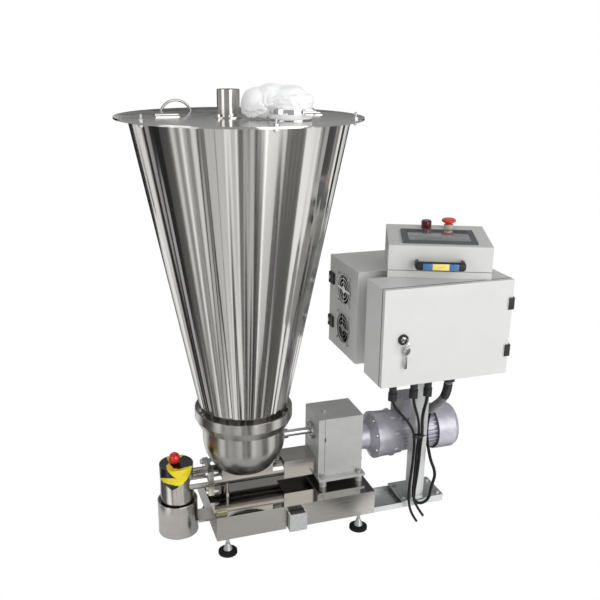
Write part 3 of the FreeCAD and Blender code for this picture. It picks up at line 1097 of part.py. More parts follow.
FAN_FACE = "(rear_cabinet_left + cabinet_wall)"
frames = []
guards = []
for z in fan_heights:
    frames.append(fuse(
        cut(block(FAN_FACE, "%s + fan_depth" % FAN_FACE, "fan_y - fan_side / 2", "fan_y + fan_side / 2",
                  "%s - fan_side / 2" % z, "%s + fan_side / 2" % z),
            rod("fan_bore", "%s - 1" % FAN_FACE, "fan_y", z, "fan_depth + 2", "x")),
        rod("fan_hub", "%s + fan_depth - 4" % FAN_FACE, "fan_y", z, "4", "x"),
        block("%s + fan_depth - 4" % FAN_FACE, "%s + fan_depth" % FAN_FACE, "fan_y - fan_bore - 1",
              "fan_y + fan_bore + 1", "%s - 3" % z, "%s + 3" % z),
        block("%s + fan_depth - 4" % FAN_FACE, "%s + fan_depth" % FAN_FACE, "fan_y - 3", "fan_y + 3",
              "%s - fan_bore - 1" % z, "%s + fan_bore + 1" % z)))
    GUARD_X = "(rear_cabinet_left - guard_stand)"
    rings = [tube("fan_bore + 2 - %d" % step, "fan_bore + 2 - %d - guard_wire" % step, GUARD_X,
                  "fan_y", z, "guard_wire", "x") for step in (0, 11, 22)]
    hub = rod("11", GUARD_X, "fan_y", z, "guard_wire", "x")
    spokes = [block(GUARD_X, "%s + guard_wire" % GUARD_X, "fan_y - fan_bore", "fan_y + fan_bore",
                    "%s - 3" % z, "%s + 3" % z),
              block(GUARD_X, "%s + guard_wire" % GUARD_X, "fan_y - 1.5", "fan_y + 1.5",
                    "%s - fan_bore" % z, "%s + fan_bore" % z)]
    lugs = []
    for side in ("-", "+"):
        for level in ("-", "+"):
            y = "fan_y %s fan_hole_pitch / 2" % side
            height = "%s %s fan_hole_pitch / 2" % (z, level)
            lugs.append(rod("4", GUARD_X, y, height, "guard_stand", "x"))
            lugs.append(rod("3", "%s - 2" % GUARD_X, y, height, "3", "x"))
            corner = new("Part::Box", "leg")
            tie(corner, "Length", "guard_wire")
            tie(corner, "Width", "16")
            tie(corner, "Height", "guard_wire")
            turn = {"--": 225, "-+": 135, "+-": 315, "++": 45}[side + level]
            corner.Placement = FreeCAD.Placement(FreeCAD.Vector(0, 0, 0),
                                                 FreeCAD.Rotation(FreeCAD.Vector(1, 0, 0), turn))
            tie(corner, "Placement.Base.x", GUARD_X)
            tie(corner, "Placement.Base.y", "fan_y + fan_bore * cos(%d)" % turn)
            tie(corner, "Placement.Base.z", "%s + fan_bore * sin(%d)" % (z, turn))
            lugs.append(corner)
    guards.append(fuse(*rings, hub, *spokes, *lugs))
finish(group(*frames), "fan_frames")
finish(group(*guards), "fan_guards")

for name, z in (("lower", "fan_low"), ("upper", "fan_high")):
    blades = []
    for index in range(7):
        turn = 360.0 * index / 7
        blade = new("Part::Box", "blade")
        tie(blade, "Length", "2")
        tie(blade, "Width", "17")
        tie(blade, "Height", "fan_blade")
        blade.Placement = FreeCAD.Placement(
            FreeCAD.Vector(0, 0, 0),
            FreeCAD.Rotation(FreeCAD.Vector(1, 0, 0), turn) * FreeCAD.Rotation(FreeCAD.Vector(0, 0, 1), 40))
        tie(blade, "Placement.Base.x", "%s + 16" % FAN_FACE)
        tie(blade, "Placement.Base.y", "fan_y - 6 * cos(%s)" % turn)
        tie(blade, "Placement.Base.z", "%s - 6 * sin(%s)" % (z, turn))
        blades.append(blade)
    rotor = common(fuse(rod("fan_hub", "%s + 3" % FAN_FACE, "fan_y", z, "fan_depth - 7.3", "x"), *blades),
                   rod("fan_blade", "%s + 2" % FAN_FACE, "fan_y", z, "fan_depth - 6.5", "x"))
    finish(rotor, "fan_rotor_" + name)

# Drives and power supplies on a plate in the front cabinet, a controller in the rear one
modules = fuse(
    block("front_cabinet_left + 30", "%s - 30" % FRONT_RIGHT, "%s - cabinet_wall - 5" % FRONT_CABINET_BACK,
          "%s - cabinet_wall - 3" % FRONT_CABINET_BACK, "cabinet_bottom + 25", "cabinet_top - 25"),
    *[block("front_cabinet_left + %d" % left, "front_cabinet_left + %d" % (left + wide),
            "%s - cabinet_wall - %d" % (FRONT_CABINET_BACK, deep),
            "%s - cabinet_wall - 4" % FRONT_CABINET_BACK,
            "cabinet_bottom + %d" % low, "cabinet_bottom + %d" % (low + tall))
      for left, wide, deep, low, tall in ((50, 80, 68, 80, 145), (150, 40, 60, 100, 120),
                                          (210, 120, 55, 120, 90), (60, 260, 35, 35, 20))],
    *[block("front_cabinet_left + %d" % x, "front_cabinet_left + %d" % (x + 12),
            "%s - cabinet_wall - 3.5" % FRONT_CABINET_BACK, "%s - cabinet_wall" % FRONT_CABINET_BACK,
            "cabinet_bottom + %d" % z, "cabinet_bottom + %d" % (z + 12))
      for x in (40, 330) for z in (32, 222)])
finish(modules, "control_modules")

# Operator box: tray, cover, touch panel, lamp, stop button and handle, drawn about the swivel
BOX_RIGHT = "(box_left + box_width)"
BOX_BACK = "(box_front + box_depth)"
BOX_Z = "cabinet_top + box_clear"
LID_SLOPE = "atan(box_rise / box_depth)"


def on_swivel(item, label):
    """Turns an item drawn about the swivel axis into its place on top of the cabinets."""
    item.Placement = FreeCAD.Placement(FreeCAD.Vector(0, 0, 0),
                                       FreeCAD.Rotation(FreeCAD.Vector(0, 0, 1), number("box_turn")))
    tie(item, "Placement.Rotation.Angle", "box_turn")
    tie(item, "Placement.Base.y", "post_y")
    tie(item, "Placement.Base.z", BOX_Z)
    return finish(item, label, "post_x")


tray = cut(
    block("box_left", BOX_RIGHT, "box_front", BOX_BACK, "0", "tray_height"),
    block("box_left + box_wall", "%s - box_wall" % BOX_RIGHT, "box_front + box_wall",
          "%s - box_wall" % BOX_BACK, "box_wall", "tray_height + 1"))
tray_boss = rod("swivel_radius + 8", "0", "0", "0", "tray_height - 1")
on_swivel(cut(fuse(tray, tray_boss),
              rod("swivel_radius + shaft_play", "0", "0", "-1", "tray_height + 2")), "panel_tray")

cover_side = extruded([
    ("box_front", "tray_height"), (BOX_BACK, "tray_height"),
    (BOX_BACK, "box_front_height + box_rise"), ("box_front", "box_front_height")],
    "cover_body", "YZ_Plane", "box_width")
place(cover_side, "box_left")
cover_room = extruded([
    ("box_front + box_wall", "tray_height - 1"), ("%s - box_wall" % BOX_BACK, "tray_height - 1"),
    ("%s - box_wall" % BOX_BACK, "box_front_height + box_rise - box_wall"),
    ("box_front + box_wall", "box_front_height - box_wall")],
    "cover_room", "YZ_Plane", "box_width - 2 * box_wall")
place(cover_room, "box_left + box_wall")
on_swivel(cut(cover_side, cover_room), "panel_cover")


def top_height(y):
    """Height of the box's sloping top at a distance along it."""
    return "(box_front_height + (%s - box_front) * box_rise / box_depth)" % y


SCREEN_X = "(box_left + box_width / 2 - screen_width / 2)"
SCREEN_Y = "(box_front + screen_setback)"
screen_side = extruded([
    (SCREEN_Y, top_height(SCREEN_Y)),
    ("%s + screen_depth" % SCREEN_Y, top_height("(%s + screen_depth)" % SCREEN_Y)),
    ("%s + screen_depth - 2" % SCREEN_Y, "%s + screen_thick" % top_height("(%s + screen_depth)" % SCREEN_Y)),
    ("%s + 2" % SCREEN_Y, "%s + screen_thick" % top_height(SCREEN_Y))],
    "screen_body", "YZ_Plane", "screen_width")
place(screen_side, SCREEN_X)
on_swivel(group(screen_side), "touch_panel")

LAMP_FOOT = top_height("(lamp_y - lamp_radius)")
lamp = fuse(rod("lamp_radius", "lamp_x", "lamp_y", LAMP_FOOT, "lamp_height - 2"),
            cone("lamp_radius", "lamp_radius - 3", "lamp_x", "lamp_y",
                 "%s + lamp_height - 2" % LAMP_FOOT, "3"))
lamp_cut = extruded([
    ("box_front", "0"), (BOX_BACK, "0"),
    (BOX_BACK, "box_front_height + box_rise"), ("box_front", "box_front_height")],
    "lamp_cut", "YZ_Plane", "box_width")
place(lamp_cut, "box_left")
on_swivel(cut(lamp, lamp_cut), "signal_lamp")

COLLAR_FOOT = top_height("(lamp_y - stop_collar)")
collar = cut(rod("stop_collar", "stop_button_x", "lamp_y", COLLAR_FOOT, "stop_collar_height"),
             rod("stop_stem + shaft_play", "stop_button_x", "lamp_y", COLLAR_FOOT, "stop_collar_height"))
collar_cut = extruded([
    ("box_front", "0"), (BOX_BACK, "0"),
    (BOX_BACK, "box_front_height + box_rise"), ("box_front", "box_front_height")],
    "collar_cut", "YZ_Plane", "box_width")
place(collar_cut, "box_left")
on_swivel(cut(collar, collar_cut), "estop_collar")

HEAD_FOOT = "(%s + stop_collar_height + stop_travel + 0.5)" % COLLAR_FOOT
button = fuse(
    rod("stop_stem", "stop_button_x", "lamp_y", "%s - stop_travel - 6" % HEAD_FOOT, "stop_travel + 7"),
    cone("stop_collar", "stop_head", "stop_button_x", "lamp_y", HEAD_FOOT, "4"),
    rod("stop_head", "stop_button_x", "lamp_y", "%s + 4" % HEAD_FOOT, "5"),
    cone("stop_head", "stop_head - 4", "stop_button_x", "lamp_y", "%s + 9" % HEAD_FOOT, "3"))
on_swivel(button, "estop_button")

HANDLE_X = "(box_left + box_width / 2 + handle_offset)"
handle_outer = block("%s - handle_span / 2" % HANDLE_X, "%s + handle_span / 2" % HANDLE_X,
                     "box_front - handle_reach", "box_front", "handle_height", "handle_height + handle_tall")
handle_inner = block("%s - handle_span / 2 + handle_bar" % HANDLE_X,
                     "%s + handle_span / 2 - handle_bar" % HANDLE_X,
                     "box_front - handle_reach + handle_bar", "box_front + 1", "handle_height - 1",
                     "handle_height + handle_tall + 1")
on_swivel(cut(handle_outer, handle_inner), "panel_handle")

# Cable glands under the front cabinet
glands = []
for x, radius, body_length, cable in gland_list:
    across = "(%s) * 2.4" % radius
    glands.append(cut(
        fuse(rod(radius, x, "gland_y", "cabinet_bottom - %s" % body_length,
                 "%s + cabinet_wall + 6" % body_length),
             hexagon(across, x, "gland_y", "cabinet_bottom - gland_nut", "gland_nut"),
             hexagon("(%s) * 0.96" % across, x, "gland_y", "cabinet_bottom - %s - 2" % body_length,
                     "gland_nut * 1.6"),
             hexagon(across, x, "gland_y", "cabinet_bottom + cabinet_wall", "4")),
        rod("%s + gland_bore_play" % cable, x, "gland_y", "cabinet_bottom - %s - 3" % body_length,
            "%s * 2" % body_length)))
finish(group(*glands), "cable_glands")

# Spirit level on the base cover
vial_left = "(vial_x - vial_length / 2)"
finish(fuse(
    block("%s - 3" % vial_left, "%s + vial_length + 3" % vial_left, "vial_y - vial_radius - 1",
          "vial_y + vial_radius + 1", "base_top", "base_top + vial_seat"),
    rod("vial_radius", vial_left, "vial_y", "base_top + vial_seat + vial_radius * 0.8", "vial_length", "x")),
    "level_vial")


def route_wire(points):
    """Straight runs joined by tangent arcs; prints the smallest bend radius."""
    corners = [FreeCAD.Vector(*point) for point in points]
    edges = []
    start = corners[0]
    radii = []
    for before, corner, after in zip(corners, corners[1:], corners[2:]):
        inward = (before - corner).normalize()
        outward = (after - corner).normalize()
        half_turn = (math.pi - inward.getAngle(outward)) / 2
        reach = 0.45 * min((before - corner).Length, (after - corner).Length)
        radii.append(reach / math.tan(half_turn))
        first = corner + inward * reach
        last = corner + outward * reach
        bisector = (inward + outward).normalize()
        centre_far = radii[-1] / math.cos(half_turn)
        middle = corner + bisector * (centre_far - radii[-1])
        edges.append(Part.LineSegment(start, first).toShape())
        edges.append(Part.Arc(first, middle, last).toShape())
        start = last
    edges.append(Part.LineSegment(start, corners[-1]).toShape())
    print("bend radii in mm:", [round(radius, 1) for radius in radii])
    return Part.Wire(edges)


def cord(points, radius_text, label, bore_text=None):
    """A cable or conduit swept along a route given about the hopper axis."""
    wire = route_wire(points)
    heading = FreeCAD.Vector(*points[1]) - FreeCAD.Vector(*points[0])

    def swept(radius):
        circle = Part.Circle(FreeCAD.Vector(*points[0]), heading, radius).toShape()
        return wire.makePipe(Part.Face(Part.Wire(circle)))

    shape = swept(number(radius_text))
    if bore_text:
        shape = shape.cut(swept(number(bore_text)))
    print(label, "length %.0f mm" % wire.Length, "volume ratio %.3f"
          % (shape.Volume / wire.Length / math.pi / number(radius_text) ** 2))
    item = new("Part::Feature", "cord")
    item.Shape = shape
    place(item)
    finish(item, label)


# Cables from the glands: two end as bare tails, the third loops back up into the conduit
GLAND_Y = number("gland_y")
CABLE_TOP = number("cabinet_bottom - gland_body + 14")
CONDUIT_TOP = number("cabinet_bottom - 12")
cord([(number("gland_left"), GLAND_Y, CABLE_TOP), (number("gland_left"), GLAND_Y, 438), (404, -182, 403),
      (440, -168, 362), (465, -156, 326), (475, -150, 285), (474, -149, 225), (469, -150, 165),
      (462, -156, 115), (464, -162, 76), (474, -167, 46), (487, -171, 26)], "cable_radius", "cable_left")
cord([(number("gland_middle"), GLAND_Y, CABLE_TOP), (number("gland_middle"), GLAND_Y, 436),
      (460, -180, 394), (477, -166, 352), (485.5, -155, 308), (484, -150, 255), (483, -150, 200),
      (479, -152, 146), (476, -156, 112), (483, -160, 84), (496, -165, 59), (509, -168, 39)],
     "cable_radius", "cable_middle")
cord([(number("gland_right"), GLAND_Y, CABLE_TOP), (number("gland_right"), GLAND_Y, 436),
      (480, -183, 398), (483, -172, 358), (494, -159, 316), (494, -150, 268), (493, -150, 213),
      (488, -151, 160), (483, -152, 118), (483, -151, 88), (498.6, -151, 72.4), (520.6, -151, 72.4),
      (536.2, -151, 88), (538, -151, 114), (545, -151, 138), (550, -151, 160), (545, -151, 184),
      (534, -150, 208), (529, -143, 236), (531, -122, 266), (540, -100, 294), (548, -92, 328),
      (548.6, -110, 360)], "thick_cable_radius", "cable_right")
cord([(number("gland_conduit"), GLAND_Y, CONDUIT_TOP), (number("gland_conduit"), GLAND_Y, 456),
      (549.5, -159, 408), (549, -118, 374), (548.5, -101, 352)], "conduit_radius", "motor_conduit",
     "conduit_bore")

doc.recompute()
for item in doc.Objects:
    if "Invalid" in item.State or "Error" in item.State:
        raise RuntimeError("%s (%s) did not build: %s" % (item.Name, item.Label, item.State))
os.makedirs("parts", exist_ok=True)
for item in pieces:
    if item.Shape.isNull() or not item.Shape.isValid():
        raise RuntimeError("%s has no valid shape" % item.Label)
    item.Shape.exportStep("parts/%s.step" % item.Label)
print(len(pieces), "sub-parts")
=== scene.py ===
import math

import bmesh
import bpy
from mathutils import Matrix, Vector


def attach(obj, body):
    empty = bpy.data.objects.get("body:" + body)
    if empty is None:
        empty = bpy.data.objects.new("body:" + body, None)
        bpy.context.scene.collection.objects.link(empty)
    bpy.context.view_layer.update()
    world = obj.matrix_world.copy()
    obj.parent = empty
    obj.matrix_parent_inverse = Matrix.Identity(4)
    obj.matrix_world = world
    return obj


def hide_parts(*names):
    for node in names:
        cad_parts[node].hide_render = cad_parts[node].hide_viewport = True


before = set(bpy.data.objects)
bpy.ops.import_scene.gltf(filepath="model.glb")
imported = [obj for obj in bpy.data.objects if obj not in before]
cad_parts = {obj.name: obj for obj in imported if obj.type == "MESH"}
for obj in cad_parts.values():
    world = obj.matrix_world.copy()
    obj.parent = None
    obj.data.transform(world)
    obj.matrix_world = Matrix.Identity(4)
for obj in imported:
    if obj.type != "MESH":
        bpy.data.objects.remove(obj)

bl_info = {
    "name": "Loss-in-weight feeder",
    "version": (1, 0, 0),
    "blender": (4, 5, 0),
    "location": "View3D > Sidebar > Feeder",
    "description": "Finishes and small parts of a loss-in-weight twin-screw feeder",
    "category": "Object",
}

MIDDLE_X = 193.4688
LID_TOP = 1209.6
VENT = (90, -145)
INLET = (-41, -44)
HEAD = (-200, 0)
MOTOR_AXIS = 243.03
POST = (502, -115)
BOX_FLOOR = 792.4
BOX_TURN = math.radians(-22.5)
CAMERA_PLACE = (-498.19, -1971.77, 1367.25)
CAMERA_TURNS = (18.64, 17.77, 0.67)
CAMERA_LENS = 46.574
CAMERA_SIDE = 14.2
SEAM = 19.5
TAPE_TOP = 246.3
TAPE_DEPTH = 56
BAG_REACH = 0.013
BAG_FLOOR = (LID_TOP + 1.2) / 1000
LINE_STEP = 0.0007
NOISE_LOW, NOISE_HIGH = 0.3, 0.7


def at(x, y, z):
    """A point given in millimetres from the hopper's axis, in metres of the row frame."""
    return Vector(((x - MIDDLE_X) / 1000, y / 1000, z / 1000))


def on_box(x, y, z):
    """A point given in millimetres from the operator box's swivel."""
    across = POST[0] + x * math.cos(BOX_TURN) - y * math.sin(BOX_TURN)
    along = POST[1] + x * math.sin(BOX_TURN) + y * math.cos(BOX_TURN)
    return at(across, along, BOX_FLOOR + z)


def box_top(y):
    """Height of the operator box's sloping top over its floor, at a distance from the swivel."""
    return 88 + (y + 80) * 10 / 219


def linear(code):
    """Linear red, green and blue of an sRGB hex colour."""
    values = [int(code[place:place + 2], 16) / 255 for place in (1, 3, 5)]
    return tuple(v / 12.92 if v <= 0.04045 else ((v + 0.055) / 1.055) ** 2.4 for v in values)


def colour(label, note, code):
    return bpy.props.FloatVectorProperty(name=label, description=note, subtype="COLOR", size=3,
                                         min=0, max=1, default=linear(code))


def length(label, note, millimetres):
    return bpy.props.FloatProperty(name=label, description=note, default=millimetres / 1000,
                                   min=0, unit="LENGTH", precision=4)


class FeederColours(bpy.types.PropertyGroup):
    """Colours that differ from one machine to the next."""
    polished: colour("Polished steel", "Stainless steel of the hopper, lid and bowl", "#cfcdc9")
    brushed: colour("Brushed steel", "Stainless steel of the base, head and sleeve", "#b3b0ab")
    plate: colour("Ground plate", "Thick steel plates of the gear housing", "#c6c7c5")
    cabinet: colour("Cabinet paint", "Powder coat of the cabinets and the operator box", "#d9dad7")
    motor: colour("Motor paint", "Silver paint of the gear motor", "#c9c7d1")
    rubber: colour("Rubber", "Feet and cables", "#17181a")
    knob: colour("Red knob", "Knob of the discharge cap and the stop button", "#d3201c")
    fabric: colour("Filter bag", "Cloth of the filter bag", "#ffffff")
    tape_light: colour("Tape, light stripe", "Light stripes of the hazard tape", "#f2dd1f")
    tape_dark: colour("Tape, dark stripe", "Dark stripes of the hazard tape", "#0d0c0b")


class FeederSizes(bpy.types.PropertyGroup):
    """Sizes of the parts that are not in the frame."""
    cable: length("Thin cable", "Outer radius of the two thin cables", 3.8)
    thick_cable: length("Thick cable", "Outer radius of the motor cable", 4.6)
    conduit: length("Conduit", "Outer radius of the corrugated conduit", 12.5)
    rib: length("Conduit rib", "Distance between the conduit's ribs", 5.6)
    bag_wall: length("Bag cloth", "Thickness of the filter bag's cloth", 0.8)
    bolt: length("Bolt head", "Width across the flats of the gear motor's bolts", 10)


# Materials

def add(tree, kind, options=(), values=()):
    """One shader node with its settings; a value that is another node's socket is linked."""
    made = tree.nodes.new("ShaderNode" + kind)
    for name, value in dict(options).items():
        setattr(made, name, value)
    for name, value in dict(values).items():
        if isinstance(value, bpy.types.NodeSocket):
            tree.links.new(value, made.inputs[name])
        else:
            made.inputs[name].default_value = value
    return made


def shaded(paint, share):
    """The same colour lighter or darker by a share."""
    return tuple(min(1.0, v * share) for v in paint)


class Finish:
    """A material with one shader, whose colour, roughness and relief can follow noise."""

    def __init__(self, name, paint, rough, metal=0.0, **extra):
        self.paint, self.noises = paint, {}
        self.material = bpy.data.materials.new(name)
        self.material.use_nodes = True
        self.tree = self.material.node_tree
        self.tree.nodes.clear()
        values = {"Base Color": (*paint, 1), "Roughness": rough, "Metallic": metal}
        values.update({key.replace("_", " "): value for key, value in extra.items()})
        self.shader = self.add("BsdfPrincipled", values=values)
        self.add("OutputMaterial", values={"Surface": self.shader.outputs[0]})

    def add(self, kind, options=(), values=()):
        return add(self.tree, kind, options, values)

    def grain(self, sizes, detail=3.0):
        """Noise whose blotches have the given size or sizes in millimetres along X, Y and Z."""
        if (sizes, detail) not in self.noises:
            spacing = sizes if isinstance(sizes, tuple) else (sizes,) * 3
            scaled = self.add("Mapping", values={"Vector": self.add("TexCoord").outputs["Object"],
                                                 "Scale": [1000 / size for size in spacing]})
            self.noises[sizes, detail] = self.add("TexNoise", values={
                "Vector": scaled.outputs[0], "Scale": 1.0, "Detail": detail, "Roughness": 0.6}).outputs[0]
        return self.noises[sizes, detail]

    def round_grain(self, centre, per_radian, per_metre, detail=3.0):
        """Noise over the turn about an upright axis and the height, for a turned or rolled piece."""
        place = self.add("TexCoord").outputs["Object"]
        moved = self.add("VectorMath", {"operation": "SUBTRACT"}, {0: place, 1: tuple(centre)})
        parts = self.add("SeparateXYZ", values={0: moved.outputs[0]})
        front = self.add("Math", {"operation": "MULTIPLY"}, {0: parts.outputs["Y"], 1: -1.0})
        turn = self.add("Math", {"operation": "ARCTAN2"}, {0: parts.outputs["X"], 1: front.outputs[0]})
        across = self.add("Math", {"operation": "MULTIPLY"}, {0: turn.outputs[0], 1: per_radian})
        up = self.add("Math", {"operation": "MULTIPLY"}, {0: parts.outputs["Z"], 1: per_metre})
        unrolled = self.add("CombineXYZ", values={0: across.outputs[0], 1: up.outputs[0]})
        return self.add("TexNoise", {"noise_dimensions": "2D"},
                        {"Vector": unrolled.outputs[0], "Scale": 1.0, "Detail": detail}).outputs[0]

    def ranged(self, source, low, high):
        """A noise's middle range, drawn out to run between two values."""
        return self.add("MapRange", values={
            "Value": source, "From Min": NOISE_LOW, "From Max": NOISE_HIGH, "To Min": low,
            "To Max": high}).outputs[0]

    def gloss(self, source, low, high):
        """Lets the roughness run between two values."""
        self.tree.links.new(self.ranged(source, low, high), self.shader.inputs["Roughness"])

    def blend(self, source, low, high):
        """Lets the colour run between two colours."""
        ramp = self.add("ValToRGB", values={0: source})
        for stop, place, paint in zip(ramp.color_ramp.elements, (NOISE_LOW, NOISE_HIGH), (low, high)):
            stop.color = (*paint, 1)
            stop.position = place
        self.tree.links.new(ramp.outputs[0], self.shader.inputs["Base Color"])

    def tone(self, source, low, high):
        """Lets the material's own colour run between two shares of its brightness."""
        self.blend(source, shaded(self.paint, low), shaded(self.paint, high))

    def relief(self, height, millimetres, strength=1.0, under=None):
        """A bump of a height in millimetres, over another bump if one is given."""
        values = {"Height": height, "Distance": millimetres / 1000, "Strength": strength}
        if under is not None:
            values["Normal"] = under
        bump = self.add("Bump", values=values)
        self.tree.links.new(bump.outputs[0], self.shader.inputs["Normal"])
        return bump.outputs[0]

    def skin(self, gloss, relief=None, tone=None):
        """Roughness, relief and colour over grain: its size in millimetres, its detail, and then the two
        roughnesses, the relief's height in millimetres and strength, or the two shares of brightness."""
        for method, settings in ((self.gloss, gloss), (self.relief, relief), (self.tone, tone)):
            if settings:
                sizes, detail, *values = settings
                method(self.grain(sizes, detail), *values)
        return self


def polished_sheet(paint):
    # Rolled stainless polished to a mirror: the roll's slight waves draw its reflections into streaks,
    # and its colour is painted darker and lighter in streaks round the cone, as painted reflections
    made = Finish("polished_rolled_stainless", paint, 0.09, 1.0)
    broad = made.round_grain(at(0, 0, 0), 3.2, 0.25, 2.0)
    fine = made.round_grain(at(0, 0, 0), 7, 0.4, 2.0)
    # painted reflection: the colour runs from 0.72 to 1.04 times as light in broad streaks round the cone
    made.tone(broad, 0.72, 1.04)
    made.gloss(fine, 0.09, 0.2)
    made.relief(fine, 0.5, 0.25, made.relief(broad, 16, 0.55))
    return made


def mirror_plate(paint):
    # Flat stainless sheet with a mirror polish: nearly even, with faint clouds from the polishing wheel
    return Finish("mirror_stainless_sheet", shaded(paint, 0.86), 0.12, 1.0).skin(
        ((90, 60, 60), 2.0, 0.09, 0.17), ((70, 2.2, 20), 3.0, 0.12, 0.2))


def spun_bowl(paint):
    # Spun stainless bowl, polished on the lathe: faint rings run round it, over soft dents; its colour
    # is the polished steel painted 0.66 times as light, a painted dark reflection
    made = Finish("spun_polished_stainless", shaded(paint, 0.66), 0.24, 1.0)
    made.gloss(made.round_grain(at(0, 0, 0), 0.5, 120, 2.0), 0.23, 0.27)
    made.relief(made.round_grain(at(0, 0, 0), 1.6, 9, 1.0), 0.8, 0.4)
    return made


def brushed_sheet(paint):
    # Stainless sheet brushed with a 240 grit belt: long fine scratches blur its reflections across them
    return Finish("brushed_stainless_block", paint, 0.17, 1.0).skin(
        ((90, 4, 4), 4.0, 0.17, 0.25), ((90, 4, 4), 4.0, 0.03, 0.3), ((810, 36, 36), 2.0, 0.95, 1.02))


def base_sheet(paint):
    # Stainless cover of the base: its top is polished to a mirror and its skirt brushed lengthwise;
    # the top's colour is painted 0.72 times as light as the skirt's, as painted shade
    made = Finish("polished_and_brushed_stainless", paint, 0.2, 1.0)
    facing = made.add("SeparateXYZ", values={0: made.add("NewGeometry").outputs["Normal"]})
    level = made.add("MapRange", values={"Value": facing.outputs["Z"], "From Min": 0.6, "From Max": 0.9,
                                         "To Min": 0.0, "To Max": 1.0}).outputs[0]
    lines = made.ranged(made.grain((160, 4, 2), 4.0), 0.22, 0.29)
    rough = made.add("Mix", values={0: level, 2: lines, 3: 0.07})
    made.tree.links.new(rough.outputs[0], made.shader.inputs["Roughness"])
    # painted shade: faces that look up get the colour 0.72 times as light
    tone = made.add("Mix", {"data_type": "RGBA"},
                    {0: level, 6: (*paint, 1), 7: (*shaded(paint, 0.72), 1)})
    made.tree.links.new(tone.outputs[2], made.shader.inputs["Base Color"])
    made.relief(made.grain((120, 70, 30), 2.0), 0.25, 0.3)
    return made


def brushed_tube(paint, name):
    # Drawn stainless tube brushed along its length, with a darker dull bloom from handling
    made = Finish("brushed_stainless_tube_" + name, paint, 0.27, 1.0)
    lines = made.round_grain(at(*HEAD, 0), 55, 9, 4.0)
    made.tone(made.grain((35, 35, 28)), 0.9, 1.04)
    made.gloss(lines, 0.16, 0.24)
    made.relief(lines, 0.06, 0.3)
    return made


def ground_plate(paint):
    # Thick stainless plate, ground and left satin: fine vertical scratches and an even pale face
    return Finish("satin_ground_plate", paint, 0.45, 0.6).skin(
        ((1.6, 1.6, 60), 4.0, 0.4, 0.52), ((1.6, 1.6, 60), 4.0, 0.1, 0.35), ((60, 60, 40), 2.0, 0.94, 1.03))


def machined_steel(paint, name="machined_steel"):
    # Turned and milled steel: cutter rings too fine to show are drawn 2 mm apart
    return Finish(name, paint, 0.24, 1.0).skin(((2, 9, 9), 3.0, 0.17, 0.34), ((2, 9, 9), 3.0, 0.08, 0.4))


def zinc_plate(paint, name="zinc_plated_steel"):
    # Bright zinc plating: a satin, slightly mottled silver
    return Finish(name, paint, 0.36, 0.85).skin(
        (7, 4.0, 0.3, 0.45), (1.6, 3.0, 0.05, 0.4), (7, 4.0, 0.88, 1.05))


def powder_coat(paint):
    # Baked polyester powder coat: orange peel, really under a millimetre wide, drawn 5 mm wide to show
    return Finish("powder_coated_sheet", paint, 0.42, 0.0, Coat_Weight=0.12, Coat_Roughness=0.3).skin(
        (5, 2.0, 0.38, 0.47), (5, 2.0, 0.1, 0.3), ((160, 160, 130), 3.0, 0.965, 1.015))


def cast_paint(paint, name="silver_painted_cast_aluminium"):
    # Sand-cast aluminium under metallic paint: a pebbled skin, darker where dust sits in the hollows
    return Finish(name, paint, 0.4, 0.55).skin(
        (3, 3.0, 0.33, 0.5), (3, 3.0, 0.25, 0.5), (26, 4.0, 0.82, 1.06))


def moulded(paint, name, rough=0.4, size=1.4, coat=0.0):
    # Injection-moulded plastic or enamel: a fine even texture and a soft shine
    return Finish(name, paint, rough, 0.0, Coat_Weight=coat, Coat_Roughness=0.08).skin(
        (size, 2.0, rough * 0.85, rough * 1.2), (size, 2.0, 0.06, 0.4), (12, 3.0, 0.9, 1.08))


def rubber(paint, name="black_rubber"):
    # Vulcanised rubber and soft PVC: matt black that dust turns grey on top
    made = Finish(name, paint, 0.62, 0.0, Specular_IOR_Level=0.3)
    dust = made.grain(9, 4.0)
    made.blend(dust, shaded(paint, 0.6), tuple(v + 0.006 for v in paint))
    made.gloss(dust, 0.5, 0.75)
    made.relief(made.grain(1.2), 0.08, 0.4)
    return made


def chrome():
    # Chrome plate on wire and lock parts: a hard bright mirror, a little pitted
    return Finish("bright_chrome_plate", linear("#dcdcdc"), 0.08, 1.0).skin(
        (1.8, 3.0, 0.05, 0.16), (1.8, 3.0, 0.03, 0.3))


def filter_cloth(paint):
    # Woven polyester filter cloth, white, with a faint glow painted on as painted light so that it looks
    # brighter: its threads are really 0.4 mm apart and are drawn 2.4 mm apart so that they show
    made = Finish("woven_polyester_cloth", paint, 0.85, 0.0, Sheen_Weight=0.8, Sheen_Roughness=0.5,
                  Emission_Color=(0.95, 0.97, 1, 1), Emission_Strength=0.12)
    place = made.add("TexCoord").outputs["Object"]
    warp, weft = (made.add("TexWave", {"bands_direction": direction},
                           {"Vector": place, "Scale": 1000 / 2.4 / 20 * 3.1416, "Distortion": 0.6,
                            "Detail": 2.0}).outputs[1] for direction in ("X", "Z"))
    weave = made.add("Math", {"operation": "ADD"}, {0: warp, 1: weft})
    creases_and_crease_shade = made.grain(14, 4.0)
    # painted shade: the colour is darker in the hollows of the creases' relief
    made.tone(creases_and_crease_shade, 0.94, 1.02)
    made.relief(weave.outputs[0], 0.08, 0.35, made.relief(creases_and_crease_shade, 1.2, 0.5))
    return made


def printed_tape(paint, name):
    # Printed PVC tape: glossy, rippled where it was folded over the cap; its colour follows the ripples,
    # darker in their hollows and lighter on their crests, as painted shade and painted highlight
    return Finish(name, paint, 0.28, 0.0, Coat_Weight=0.2, Coat_Roughness=0.12).skin(
        (6, 3.0, 0.22, 0.36), ((18, 18, 12), 3.0, 0.6, 0.5), ((18, 18, 12), 3.0, 0.9, 1.06))


